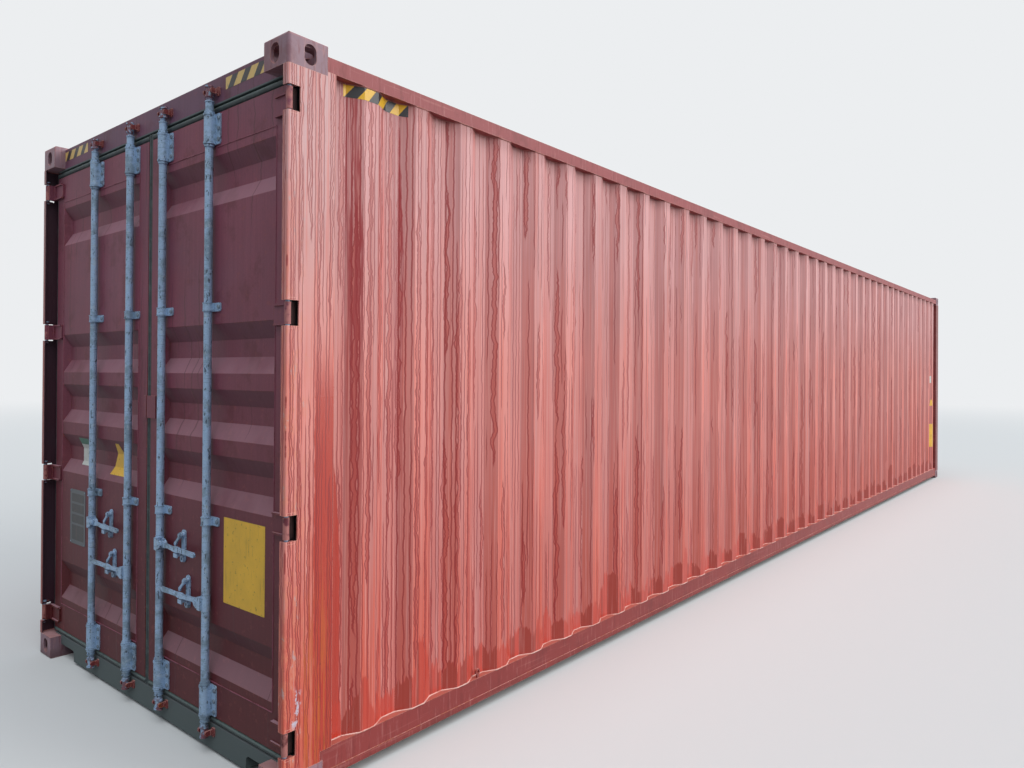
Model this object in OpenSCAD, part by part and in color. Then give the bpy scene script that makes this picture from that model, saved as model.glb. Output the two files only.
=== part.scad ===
// Forty foot high cube dry freight container with working cargo doors.
// +X runs along the length with the door end at -X, Z = 0 is under the bottom castings.
// Inside the modules e is the distance in from an end plane, millimetres throughout.

/* [Overall] */
// Length over the corner castings
length = 12192; // [9000:1:13700]
// Width over the corner castings
width = 2438; // [2400:1:2600]
// Height over the corner castings
height = 2896; // [2700:1:3000]

/* [Corner castings] */
// Casting size along the length
casting_length = 178; // [170:1:200]
// Casting size across the width
casting_width = 162; // [155:1:180]
// Casting height
casting_height = 118; // [110:1:130]
// Rounding of the outer upright edge
casting_round = 15; // [8:1:24]
// Rounding of the outer level edges
casting_edge = 9; // [4:0.5:12]
// Length of the notch in the sill beside a casting
sill_notch = 182; // [150:1:200]
// Thickness of the wall with the long slot
casting_top_wall = 28.5; // [20:0.5:32]
// Thickness of the other casting walls
casting_wall = 14; // [10:0.5:18]
// Length of the slot in the horizontal face
slot_length = 124; // [110:1:130]
// Width of the slot in the horizontal face
slot_width = 63.5; // [55:0.5:70]
// Slot centre in from the end face
slot_in_x = 103.5; // [95:0.5:108]
// Slot centre in from the side face
slot_in_y = 89.5; // [80:0.5:95]

/* [Door end posts] */
// Width of the front lip of a post
post_lip = 33; // [22:1:34]
// Flush side plate beyond the casting
post_flank = 40; // [20:1:50]
// Depth of the hinge slots
hinge_slot = 54; // [50:1:60]

/* [Side walls] */
// Sheet thickness of walls
sheet = 2; // [1.6:0.1:4]
// Depth of the side wall corrugation
wall_depth = 36; // [20:1:38]
// Width of an outer flat
wall_crest = 73; // [50:1:90]
// Run of a sloping flat
wall_slope = 68; // [40:1:75]
// Wanted spacing of the corrugations
wall_pitch = 278; // [250:1:360]
// First outer flat, in from the end
wall_first = 364; // [330:1:420]

// Door holdback eye, in from the end
eye_at = 1084; // [1000:1:1150]

/* [Roof and front wall] */
// Depth of the roof corrugation
roof_depth = 20; // [8:1:22]
// Wanted spacing of the roof corrugations
roof_pitch = 209; // [180:1:300]
// Depth of the front wall corrugation
front_depth = 45; // [20:1:50]
// Wanted spacing of the front wall corrugations
front_pitch = 250; // [230:1:360]

/* [Rails and floor] */
// Face height of the top side rails
top_rail = 60; // [45:1:62]
// Face height of the bottom side rails
bottom_rail = 115; // [100:1:118]
// Underside of the bottom side rails
rail_low = 42; // [36:1:45]
// Top of the cargo floor
floor_top = 170; // [166:1:180]
// Floor board thickness
floor_board = 28; // [20:1:32]
// Wanted spacing of the cross members
member_pitch = 305; // [250:1:500]
// Length of the tunnel under the front end
tunnel_length = 3315; // [2500:1:3500]
// Clear width of the tunnel
tunnel_width = 1029; // [900:1:1100]

/* [Doors] */
// Door face, in from the end plane
door_in = 56; // [56:0.5:62]
// Leaf thickness
leaf = 50; // [40:1:52]
// Half the gap between the two steel leaves
leaf_centre = 20; // [16:0.5:26]
// Width of the upright frame members
stile = 92; // [80:1:100]
// Height of the top and bottom frame members
cross_rail = 146; // [120:1:150]
// Depth of the pressed recesses
recess_depth = 34; // [15:1:36]
// Height of a pressed recess
recess_height = 212; // [180:1:230]
// Spacing of the three middle recesses
recess_pitch = 280; // [262:1:300]
// End recess centres, in from the leaf ends
recess_end = 289; // [275:1:300]
// Half gap between the two gaskets
gasket_gap = 2.5; // [2.5:0.5:5]
// Number of hinges on a door
hinges = 4; // [3:1:5]
// End hinge centres, in from the leaf ends
hinge_end = 80; // [70:1:95]

/* [Lock gear] */
// Lock rod radius
rod_r = 17; // [15:0.5:17]
// Rod tube wall
rod_wall = 4; // [2:0.5:6]
// Rod axis, in from the end plane
rod_in = 33; // [32:0.5:34]
// Outer rods, out from the centre line
rod_outer = 589; // [570:1:620]
// Inner rods, out from the centre line
rod_inner = 170; // [160:1:190]
// Middle rod straps, up and down from the middle of a leaf
strap_out = 457; // [430:1:480]
// Running clearance in the rod bearings
fit = 0.06; // [0.02:0.01:0.1]
// Reach of a cam ear from the rod axis
cam_reach = 30; // [26:0.5:31]
// Height of the upper handles above the leaf bottom
handle_high = 678; // [640:1:700]
// Height of the lower handles above the leaf bottom
handle_low = 482; // [450:1:500]
// Handle length from the rod axis
handle_length = 360; // [330:1:370]
// How far a handle bends away from the door
handle_bend = 7; // [4:0.5:9]
// Handle retainers, out from the rod axis
retainer_at = 188; // [175:1:205]

/* [Hidden] */
w2 = width / 2;
xd = -length / 2;
tiny = 0.01;
door_y = w2 - 66;
leaf_low = 154;
leaf_high = height - 164;
leaf_mid = (leaf_low + leaf_high) / 2;
door_back = door_in + leaf;
stop_e = door_back + 6;
header_low = height - 127;
header_high = height - 12;
header_back = door_in + 94;
sill_top = 121;
post_e = 165;
post_side = casting_length + post_flank;
pin_e = 17;
pin_y = w2 - 17;
pin_r = 8;
knuckle_r = 12;
opening_y = w2 - 76;
rail_top_z = height - 41;
rail_out = w2 - 2;
crest_y = w2 - 5;
hinge_step = (leaf_high - leaf_low - 2 * hinge_end) / (hinges - 1);
hinge_z = [for (i = [0 : hinges - 1]) leaf_low + hinge_end + i * hinge_step];
recess_z = [
    leaf_low + recess_end,
    leaf_mid - recess_pitch,
    leaf_mid,
    leaf_mid + recess_pitch,
    leaf_high - recess_end
];
bracket_z = [leaf_low + 70, leaf_high - 70];
bracket_h = 131;
strap_z = [leaf_mid - strap_out, leaf_mid + strap_out];
strap_h = 37;
cam_z = [90, height - 74];
wall_n = floor((length - 2 * wall_first - wall_crest) / wall_pitch) + 1;
wall_step = (length - 2 * wall_first - wall_crest) / (wall_n - 1);
roof_e = 300;
roof_n = floor((length - 2 * roof_e - 40) / roof_pitch);
roof_step = (length - 2 * roof_e - 40) / roof_n;
roof_low = rail_top_z + 3;
front_e = 26;
front_back = front_e + front_depth + sheet;
front_post = 100;
front_sill = 85;
front_n = floor((width - 2 * front_post - 60) / front_pitch);
front_step = (width - 2 * front_post - 60) / front_n;
member_z0 = 28;
member_z1 = floor_top - floor_board;
tunnel_e = length - tunnel_length;
paint_door = [0.42, 0.22, 0.25];
paint_side = [0.74, 0.42, 0.39];
paint_rail = [0.52, 0.26, 0.25];
paint_gear = [0.42, 0.5, 0.55];

// Box between two corners
module bar(x0, x1, y0, y1, z0, z1) {
    translate([x0, y0, z0])
        cube([x1 - x0, y1 - y0, z1 - z0]);
}

module both_sides() {
    children();
    mirror([0, 1, 0])
        children();
}

// Children are placed with x measured in from the door end plane
module door_end() {
    translate([xd, 0, 0])
        children();
}

// Children are placed with x measured in from the front end plane
module front_end() {
    translate([-xd, 0, 0])
        mirror([1, 0, 0])
            children();
}

// Slot through Z with its long axis along X
module slot(w, l, h) {
    for (s = [-1, 1])
        translate([s * (l - w) / 2, 0, 0])
            cylinder(d = w, h = h);
    translate([-(l - w) / 2, -w / 2, 0])
        cube([l - w, w, h]);
}

// Rectangle with its corner at the origin rounded
module one_round(a, b, r) {
    translate([r, 0])
        square([a - r, b]);
    translate([0, r])
        square([a, b - r]);
    translate([r, r])
        circle(r = r);
}

// Rectangle around the origin with all corners rounded
module all_round(a, b, r) {
    square([a, b - 2 * r], center = true);
    square([a - 2 * r, b], center = true);
    for (i = [-1, 1], j = [-1, 1])
        translate([i * (a / 2 - r), j * (b / 2 - r)])
            circle(r = r);
}

// One casting with its outer corner at the origin and its slotted face at z = 0
module casting() {
    difference() {
        intersection() {
            linear_extrude(casting_height)
                one_round(casting_length, casting_width, casting_round);
            rotate([90, 0, 90])
                linear_extrude(casting_length)
                    one_round(casting_width, casting_height, casting_edge);
            translate([0, casting_width, 0])
                rotate([90, 0, 0])
                    linear_extrude(casting_width)
                        one_round(casting_length, casting_height, casting_edge);
        }
        translate([casting_wall, casting_wall, casting_top_wall])
            cube([
                casting_length - 2 * casting_wall,
                casting_width - 2 * casting_wall,
                casting_height - casting_top_wall - casting_wall
            ]);
        translate([slot_in_x, slot_in_y, -1])
            slot(slot_width, slot_length, casting_top_wall + 2);
        translate([-1, slot_in_y, casting_height * 0.52])
            rotate([0, 90, 0])
                slot(58, 78, casting_wall + 2);
        translate([slot_in_x - 6, casting_wall + 1, casting_height * 0.52])
            rotate([0, 90, 90])
                mirror([0, 0, 1])
                    slot(54, 80, casting_wall + 2);
    }
}

module top_corner_castings() {
    color(paint_rail)
        for (m = [0, 1], n = [0, 1])
            mirror([m, 0, 0])
                mirror([0, n, 0])
                    translate([xd, -w2, height])
                        mirror([0, 0, 1])
                            casting();
}

module bottom_corner_castings() {
    color(paint_rail)
        for (m = [0, 1], n = [0, 1])
            mirror([m, 0, 0])
                mirror([0, n, 0])
                    translate([xd, -w2, 0])
                        casting();
}

// Outer pressed section of a door end post with the boxed door stop behind the leaf
module rear_post_section() {
    translate([8, w2 - 6])
        square([post_e - 8, 6]);
    translate([0, w2 - post_lip])
        square([6, post_lip - 8]);
    difference() {
        translate([8, w2 - 8])
            circle(r = 8);
        translate([8, w2 - 8])
            circle(r = 2);
        translate([8, w2 - 17])
            square([20, 20]);
        translate([-2, w2 - 18])
            square([20, 10]);
    }
    translate([stop_e, opening_y])
        square([6, w2 - opening_y]);
    translate([post_e - 6, opening_y])
        square([6, w2 - opening_y]);
    translate([stop_e, opening_y])
        square([post_e - stop_e, 6]);
}

// Flush plate from e to the first valley, with its return to the sheet
module flank_section(e) {
    translate([e, w2 - 6])
        square([post_side - e, 6]);
    translate([post_side - 6, crest_y - wall_depth - sheet])
        square([6, w2 - crest_y + wall_depth + sheet]);
}

module rear_corner_posts() {
    rail_top = rail_low + bottom_rail;
    color(paint_side)
        both_sides()
            door_end()
                difference() {
                    union() {
                        translate([0, 0, casting_height])
                            linear_extrude(height - 2 * casting_height)
                                rear_post_section();
                        translate([0, 0, rail_top])
                            linear_extrude(height - casting_height - rail_top)
                                flank_section(post_e - 1);
                        translate([0, 0, height - casting_height - 1])
                            linear_extrude(rail_top_z - top_rail - height + casting_height + 1)
                                flank_section(casting_length);
                    }
                    for (z = hinge_z)
                        translate([-1, w2 - post_lip - 1, z - 48])
                            cube([hinge_slot + 1, post_lip + 2, 96]);
                    hinge_lug_shapes();
                }
}

module front_corner_posts() {
    color(paint_side)
        both_sides()
            front_end()
                translate([0, 0, casting_height])
                    linear_extrude(height - 2 * casting_height) {
                        difference() {
                            translate([0, w2 - front_post])
                                square([66, front_post]);
                            translate([6, w2 - front_post + 6])
                                square([54, front_post - 12]);
                        }
                        translate([60, w2 - 6])
                            square([post_e - 60, 6]);
                        translate([post_e - 6, crest_y - wall_depth - 6])
                            square([6, wall_depth + 11]);
                    }
}

// Hollow box between two corners
module box_tube(x0, x1, y0, y1, z0, z1, t) {
    difference() {
        bar(x0, x1, y0, y1, z0, z1);
        bar(x0 + t, x1 - t, y0 + t, y1 - t, z0 + t, z1 - t);
    }
}

module door_header() {
    ye = w2 - casting_width;
    color(paint_door)
        door_end() {
            box_tube(door_in, header_back, -ye, ye, header_low, header_high, 4);
            box_tube(stop_e, header_back, -opening_y, opening_y, header_low - 27, header_low + 2, 4);
            both_sides()
                bar(door_in, header_back, ye - 2, opening_y, header_low, height - casting_height);
        }
}

module door_sill() {
    ye = w2 - casting_width;
    yn = w2 - casting_width - sill_notch;
    color(paint_door)
        door_end() {
            translate([door_in, 0, 0])
                rotate([90, 0, 90])
                    linear_extrude(6)
                        polygon([
                            [-ye, sill_top], [-ye, 72], [-yn - 14, 72], [-yn, 58], [-yn, 14],
                            [yn, 14], [yn, 58], [yn + 14, 72], [ye, 72], [ye, sill_top]
                        ]);
            bar(door_in, post_e, -ye, ye, sill_top - 6, sill_top);
            bar(door_in, 140, -yn, yn, 14, 20);
            both_sides() {
                bar(door_in, 140, yn - 6, yn, 14, 76);
                bar(door_in, 140, yn - 6, ye, 72, 78);
                bar(door_in, post_e, ye - 2, opening_y, casting_height, sill_top);
            }
            box_tube(stop_e, post_e, -opening_y, opening_y, casting_height, floor_top - 4, 4);
            bar(134, 140, -ye, ye, 72, sill_top);
        }
}

module front_top_rail() {
    ye = w2 - casting_width;
    color(paint_rail)
        front_end() {
            box_tube(front_e - 4, front_e + 66, -ye, ye, height - casting_height - 6, rail_top_z + 12, 4);
            both_sides()
                bar(front_e - 4, front_e + 66, ye - 2, w2 - front_post,
                    height - casting_height - 6, height - casting_height);
        }
}

module front_bottom_rail() {
    ye = w2 - casting_width;
    yt = tunnel_width / 2;
    color(paint_rail)
        front_end() {
            both_sides()
                box_tube(15, front_sill, yt, ye, 16, 122, 5);
            box_tube(15, front_back, -w2 + front_post, w2 - front_post,
                casting_height, floor_top - 14, 5);
        }
}

module top_side_rails() {
    x0 = xd + casting_length;
    color(paint_rail)
        both_sides()
            difference() {
                bar(x0, -x0, rail_out - 60, rail_out, rail_top_z - top_rail, rail_top_z);
                bar(x0 - 1, 1 - x0, rail_out - 56, rail_out - 4,
                    rail_top_z - top_rail + 4, rail_top_z - 4);
            }
}

module bottom_side_rails() {
    x0 = xd + casting_length;
    top = rail_low + bottom_rail;
    color(paint_rail)
        both_sides() {
            bar(x0, -x0, w2 - 11, w2 - 6, rail_low, top);
            bar(x0, -x0, w2 - 54, w2 - 6, top - 5, top);
            bar(x0, -x0, w2 - 46, w2 - 6, rail_low, rail_low + 5);
            bar(x0, -x0, w2 - 6 - tiny, w2 - 3, rail_low, rail_low + 28);
            bar(xd + post_e, x0 + 1, w2 - 54, w2 - 6, casting_height, top);
            bar(-x0 - 1, -xd - post_e, w2 - 54, w2 - 6, casting_height, top);
        }
}

// Outline of a corrugated sheet: flats at the low level a, crests at the level b
function crests(first, step, n, crest, slope, a, b) = [
    for (k = [0 : n - 1], p = [
        [first + k * step - slope, a],
        [first + k * step, b],
        [first + k * step + crest, b],
        [first + k * step + crest + slope, a]
    ]) p
];

// Thick sheet made of an outline and its copy shifted by t along the depth
function thick(p, t) = concat(p, [for (i = [len(p) - 1 : -1 : 0]) [p[i][0], p[i][1] - t]]);

module side_wall() {
    a = crest_y - wall_depth;
    line = concat(
        [[xd + post_side, a]],
        crests(xd + wall_first, wall_step, wall_n, wall_crest, wall_slope, a, crest_y),
        [[-xd - post_e, a]]
    );
    difference() {
        translate([0, 0, rail_low + bottom_rail])
            linear_extrude(rail_top_z - top_rail - rail_low - bottom_rail)
                polygon(thick(line, sheet));
        for (m = [0, 1])
            mirror([m, 0, 0])
                bar(xd, xd + casting_length, w2 - 60, w2, height - casting_height, height);
    }
}

module left_side_wall() {
    color(paint_side)
        side_wall();
}

module right_side_wall() {
    color(paint_side)
        mirror([0, 1, 0])
            side_wall();
}

module front_wall() {
    y0 = -w2 + front_post;
    line = concat(
        [[y0, -front_depth]],
        crests(-w2 + front_post + 30 + front_step / 2 - 36, front_step, front_n, 72, 40, -front_depth, 0),
        [[-y0, -front_depth]]
    );
    color(paint_side)
        translate([-xd - front_e, 0, floor_top - 14])
            rotate([0, 0, -90])
                linear_extrude(height - casting_height - floor_top + 8)
                    polygon(thick(line, sheet));
}

module roof_panel() {
    yc = w2 - 120;
    x0 = xd + roof_e;
    line = concat(
        [[x0 - 2, roof_low]],
        crests(x0 + 20 + roof_step / 2 - 30, roof_step, roof_n, 60, 36, roof_low, roof_low + roof_depth),
        [[-x0 + 2, roof_low]]
    );
    color(paint_side) {
        translate([0, yc, 0])
            rotate([90, 0, 0])
                linear_extrude(2 * yc)
                    polygon(thick(line, sheet));
        both_sides() {
            translate([0, yc + 1, 0])
                rotate([90, 0, 0])
                    linear_extrude(sheet)
                        polygon(concat(line, [[-x0 + 2, roof_low - sheet], [x0 - 2, roof_low - sheet]]));
            bar(x0, -x0, yc - 1, w2 - 30, rail_top_z, rail_top_z + sheet + 2);
        }
        for (m = [0, 1])
            mirror([m, 0, 0]) {
                bar(xd + (m == 0 ? header_back : front_e + 66), x0, -w2 + casting_width, w2 - casting_width,
                    rail_top_z, roof_low);
                bar(xd + casting_length, x0, -w2 + 30, w2 - 30, rail_top_z, roof_low);
            }
    }
}

module plywood_floor() {
    color([0.55, 0.36, 0.22])
        bar(xd + post_e, -xd - front_back, -w2 + 54, w2 - 54,
            floor_top - floor_board, floor_top);
}

// Channel cross member from y0 to y1 with its web at x
module member(x, y0, y1) {
    bar(x, x + 4, y0, y1, member_z0, member_z1);
    bar(x, x + 45, y0, y1, member_z1 - 4, member_z1);
    bar(x, x + 40, y0, y1, member_z0, member_z0 + 4);
}

module cross_members() {
    n = round((length - 2 * 330) / member_pitch);
    step = (length - 2 * 330) / n;
    ye = w2 - 11;
    yt = tunnel_width / 2 + 5;
    color(paint_rail)
        difference() {
            for (k = [0 : n]) {
                x = xd + 330 + k * step;
                if (x > xd + tunnel_e - 60) {
                    member(x, yt, ye);
                    member(x, -ye, -yt);
                } else
                    member(x, -ye, ye);
            }
            both_sides()
                bar(xd, -xd, w2 - 46, w2, 0, rail_low + 5);
        }
}

module gooseneck_tunnel() {
    yt = tunnel_width / 2;
    x0 = xd + tunnel_e;
    x1 = -xd - front_sill;
    color(paint_rail) {
        box_tube(x0, x1, -yt - 5, yt + 5, 120, member_z1, 4);
        both_sides()
            bar(x0, x1, yt, yt + 5, 28, 124);
        bar(x0 - 5, x0, -yt - 5, yt + 5, 28, member_z1);
    }
}

// Forged keeper: rounded base and two cheeks beside a rod end, open towards the front
module keeper(y, z) {
    translate([0, y, z]) {
        for (s = [-1, 1])
            translate([0, s * (rod_r + 12), 0]) {
                intersection() {
                    bar(18, door_in, -4, 4, -11, 11);
                    translate([29, 5, 0])
                        rotate([90, 0, 0])
                            union() {
                                cylinder(r = 11, h = 10);
                                translate([0, -11, 0])
                                    cube([40, 22, 10]);
                            }
                }
                bar(door_in - 14, door_in, -4 + s * 3, 4 + s * 3, -11, 11);
                translate([door_in - 6, s * 7, 0])
                    rotate([0, 90, 0])
                        linear_extrude(6)
                            all_round(38, 24, 7);
            }
    }
}

module cam_keepers() {
    color(paint_door)
        door_end()
            for (y = [-rod_outer, -rod_inner, rod_inner, rod_outer], z = cam_z)
                keeper(y, z);
}

// Lugs above and below each hinge slot of a post, without their pin holes
module hinge_lug_shapes() {
    for (z = hinge_z, s = [-1, 1])
        translate([0, 0, z + s * 53 - 5]) {
            translate([pin_e, pin_y, 0])
                cylinder(r = knuckle_r, h = 10);
            bar(8, 44, pin_y, w2, 0, 10);
        }
}

module hinge_lugs() {
    color(paint_side)
        both_sides()
            door_end()
                difference() {
                    hinge_lug_shapes();
                    translate([pin_e, pin_y, 0])
                        cylinder(r = pin_r, h = height);
                }
}

module hinge_pins() {
    color(paint_gear)
        both_sides()
            door_end()
                for (z = hinge_z) {
                    translate([pin_e, pin_y, z - 62])
                        cylinder(r = pin_r, h = 124);
                    translate([pin_e, pin_y, z + 58])
                        cylinder(r = pin_r + 3, h = 6);
                }
}

module door_holdback_eyes() {
    z = rail_low + bottom_rail;
    color(paint_rail)
        both_sides()
            door_end()
                translate([eye_at, w2 - 14, z])
                    difference() {
                        union() {
                            translate([-4, -5, 0])
                                cube([8, 10, 26]);
                            translate([-14, 0, 28])
                                rotate([0, 90, 0])
                                    cylinder(r = 5, h = 28);
                            translate([0, 5, 30])
                                rotate([90, 0, 0])
                                    cylinder(r = 15, h = 10);
                        }
                        translate([0, 6, 30])
                            rotate([90, 0, 0])
                                cylinder(r = 8, h = 12);
                    }
}

// Welded frame of one leaf, +Y side: four hollow members around an open middle
module leaf_frame() {
    t = 4;
    y0 = leaf_centre;
    y1 = door_y;
    door_end()
        difference() {
            bar(door_in, door_back, y0, y1, leaf_low, leaf_high);
            bar(door_in - 1, door_back + 1, y0 + stile, y1 - stile,
                leaf_low + cross_rail, leaf_high - cross_rail);
            for (y = [y0, y1 - stile])
                bar(door_in + t, door_back - t, y + t, y + stile - t, leaf_low + t, leaf_high - t);
            for (z = [leaf_low, leaf_high - cross_rail])
                bar(door_in + t, door_back - t, y0 + stile + t, y1 - stile - t,
                    z + t, z + cross_rail - t);
        }
}

// Tapered tray shape of one pressed recess; g grows it for the back of the sheet
module recess(zc, g) {
    h = recess_height / 2;
    f = h - 69;
    y0 = leaf_centre + stile + 2;
    y1 = door_y - stile - 2;
    d = recess_depth;
    e0 = door_in;
    intersection() {
        translate([0, y1 + 2 * g, 0])
            rotate([90, 0, 0])
                linear_extrude(y1 - y0 + 4 * g)
                    polygon([
                        [e0, zc - h - g], [e0 + d + g, zc - f - g],
                        [e0 + d + g, zc + f + g], [e0, zc + h + g]
                    ]);
        translate([0, 0, zc - h - 2 * g])
            linear_extrude(2 * h + 4 * g)
                polygon([
                    [e0, y0 - g], [e0 + d + g, y0 + 26 - g],
                    [e0 + d + g, y1 - 26 + g], [e0, y1 + g]
                ]);
    }
}

module leaf_panel() {
    door_end()
        difference() {
            union() {
                bar(door_in, door_in + sheet, leaf_centre + stile, door_y - stile,
                    leaf_low + cross_rail, leaf_high - cross_rail);
                for (z = recess_z)
                    recess(z, sheet);
            }
            for (z = recess_z)
                translate([-tiny, 0, 0])
                    recess(z, 0);
        }
}

module leaf_gasket() {
    color([0.16, 0.2, 0.2])
        door_end() {
            e0 = door_in + 2;
            bar(e0 + 8, door_back, leaf_centre - 1, door_y + 1, leaf_high, leaf_high + 32);
            bar(e0 + 8, door_back, leaf_centre - 1, door_y + 1, leaf_low - 28, leaf_low);
            for (z = [leaf_high + 19, leaf_low - 17])
                translate([e0 + 8, leaf_centre - 1, z])
                    rotate([-90, 0, 0])
                        cylinder(r = 11, h = door_y - leaf_centre + 2);
            bar(e0, door_back - 6, door_y, door_y + 13, leaf_low - 28, leaf_high + 32);
            bar(e0 + 4, e0 + 18, gasket_gap, leaf_centre, leaf_low - 28, leaf_high + 32);
            translate([e0 + 5, (leaf_centre + gasket_gap) / 2, leaf_low - 28])
                cylinder(r = 7, h = leaf_high - leaf_low + 60);
        }
}

module leaf_hinges() {
    door_end()
        for (z = hinge_z)
            translate([0, 0, z - 42]) {
                difference() {
                    union() {
                        translate([pin_e, pin_y, 0])
                            cylinder(r = knuckle_r, h = 84);
                        bar(pin_e, door_in - 4, pin_y - 26, pin_y - 3, 0, 84);
                    }
                    translate([pin_e, pin_y, -1])
                        cylinder(r = pin_r + fit, h = 86);
                }
                bar(door_in - 10, door_in, door_y - stile + 4, pin_y - 25, 6, 78);
                for (h = [0, 76])
                    bar(door_in - 17, door_in, door_y - stile + 10, pin_y - 25, h, h + 8);
                bar(door_in - 17, door_in - 4, pin_y - 44, pin_y - 3, 0, 84);
            }
}

// Half round bearing with rims and a bolted flange with round corners around a rod
module bracket(y, z, h, half, out, rim) {
    translate([0, y, z - h / 2])
        difference() {
            union() {
                translate([door_in - 6, 0, h / 2])
                    rotate([0, 90, 0])
                        linear_extrude(6)
                            all_round(h, 2 * half, 9);
                translate([rod_in, 0, 0])
                    cylinder(r = out, h = h);
                bar(rod_in, door_in, -out, out, 0, h);
                for (t = [0, h - rim])
                    translate([rod_in, 0, t])
                        cylinder(r = out + 2, h = rim);
            }
            translate([rod_in, 0, -1])
                cylinder(r = rod_r + fit, h = h + 2);
            bar(door_in, door_in + 20, -out - 9, out + 9, -1, h + 1);
        }
}

module rod_brackets(side) {
    color(paint_gear)
        door_end()
            for (y = [rod_outer * side, rod_inner * side]) {
                for (z = bracket_z)
                    bracket(y, z, bracket_h, 58, rod_r + 5.5, 9);
                for (z = strap_z)
                    bracket(y, z, strap_h, 70, rod_r + 4, 4);
            }
}

// Retainer on the door face: base, cradle below the handle and the pin of the catch
module retainer(y, z) {
    translate([0, y, z]) {
        translate([door_in - 6, 0, 10])
            rotate([0, 90, 0])
                linear_extrude(6)
                    all_round(146, 34, 16.5);
        translate([39.2, 0, 60])
            rotate([0, 90, 0])
                cylinder(r = 13, h = door_in - 39.2);
        translate([28, 0, 60])
            rotate([0, 90, 0])
                cylinder(r = 5, h = 20);
        translate([27, 0, 60])
            rotate([0, 90, 0])
                cylinder(r = 9, h = 5.8);
        bar(12, door_in, -17, 17, -30, -17);
        bar(12, 18, -17, 17, -36, -17);
        difference() {
            translate([door_in - 14, 0, -46])
                rotate([0, 90, 0])
                    cylinder(r = 15, h = 14);
            translate([door_in - 15, 0, -46])
                rotate([0, 90, 0])
                    cylinder(r = 6, h = 9);
        }
    }
}

module lock_plate(y0, y1, s0, s1) {
    z = leaf_mid + 12;
    door_end() {
        bar(door_in - 12, door_in - 6, y0, y1, z - 53, z + 53);
        bar(door_in - 7, door_in + 1, s0, s1, z - 53, z + 53);
    }
}

module left_door_frame() {
    color(paint_door) {
        leaf_frame();
        lock_plate(3.5, 31, 24, 31);
    }
}

module right_door_frame() {
    color(paint_door) {
        mirror([0, 1, 0])
            leaf_frame();
        lock_plate(-90, -3.5, -90, -24);
    }
}

module left_door_panel() {
    color(paint_door)
        leaf_panel();
}

module right_door_panel() {
    color(paint_door)
        mirror([0, 1, 0])
            leaf_panel();
}

module left_door_gasket() {
    leaf_gasket();
}

module right_door_gasket() {
    mirror([0, 1, 0])
        leaf_gasket();
}

module left_door_hinges() {
    color(paint_door)
        leaf_hinges();
}

module right_door_hinges() {
    color(paint_door)
        mirror([0, 1, 0])
            leaf_hinges();
}

module left_rod_brackets() {
    rod_brackets(1);
}

module right_rod_brackets() {
    rod_brackets(-1);
}

module left_handle_retainers() {
    color(paint_gear)
        door_end() {
            retainer(rod_outer - retainer_at, leaf_low + handle_high);
            retainer(rod_inner + retainer_at, leaf_low + handle_low);
        }
}

module right_handle_retainers() {
    color(paint_gear)
        door_end() {
            retainer(-rod_inner - retainer_at, leaf_low + handle_high);
            retainer(-rod_outer + retainer_at, leaf_low + handle_low);
        }
}

// Forged rod end around z = 0 with its neck towards +Z: a turned body and two hooked ears
module rod_head() {
    rotate_extrude()
        polygon([
            [0, -27], [13, -27], [16, -24], [16, 27], [12.5, 31],
            [12.5, 37], [rod_r + 2.5, 41], [rod_r + 2.5, 46], [0, 46]
        ]);
    for (s = [-1, 1])
        translate([0, 0, s * 20.5 - 4])
            difference() {
                union() {
                    translate([-2.5, 0, 0])
                        cylinder(r = 17.5, h = 8);
                    bar(-9, 9, 0, cam_reach - 9, 0, 8);
                    translate([0, cam_reach - 9, 0])
                        cylinder(r = 9, h = 8);
                }
                translate([18, 19, -1])
                    cylinder(r = 8, h = 10);
            }
}

// Tube with forged heads, collars at the bearings and a fork for the handle; d is the handle side
module lock_rod(y, d, hz) {
    color(paint_gear)
        door_end()
            translate([rod_in, y, 0])
                mirror([0, d < 0 ? 1 : 0, 0]) {
                    difference() {
                        translate([0, 0, cam_z[0] + 40])
                            cylinder(r = rod_r, h = cam_z[1] - cam_z[0] - 80);
                        translate([0, 0, cam_z[0] + 48])
                            cylinder(r = rod_r - rod_wall, h = cam_z[1] - cam_z[0] - 96);
                    }
                    translate([0, 0, cam_z[0]])
                        rod_head();
                    translate([0, 0, cam_z[1]])
                        mirror([0, 0, 1])
                            rod_head();
                    for (z = bracket_z, s = [-1, 1])
                        translate([0, 0, z + s * (bracket_h / 2 + 6) - 5])
                            cylinder(r = rod_r + 4, h = 10);
                    translate([0, 0, hz - 36])
                        cylinder(r = rod_r + 1.5, h = 72);
                    difference() {
                        union() {
                            bar(-28, 8, 0, 38, -22 + hz, 22 + hz);
                            translate([-28, 38, hz])
                                rotate([0, 90, 0])
                                    cylinder(r = 18, h = 36);
                            bar(-28, 8, 0, 24, -28 + hz, 28 + hz);
                        }
                        bar(-16, -4, 19, 60, -30 + hz, 30 + hz);
                        translate([0, 0, hz - 31])
                            cylinder(r = rod_r - rod_wall, h = 62);
                    }
                    translate([-31, 38, hz])
                        rotate([0, 90, 0])
                            cylinder(r = 6, h = 42);
                }
}

// Depth of the handle's middle line at a distance from the rod axis
function handle_line(y) = 5 - handle_bend * (
    (1 - cos(180 * min(1, max(0, (y - 84) / 76)))) / 2
    + (1 - cos(180 * min(1, max(0, (y - 262) / 84)))) * 0.22
);

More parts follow.
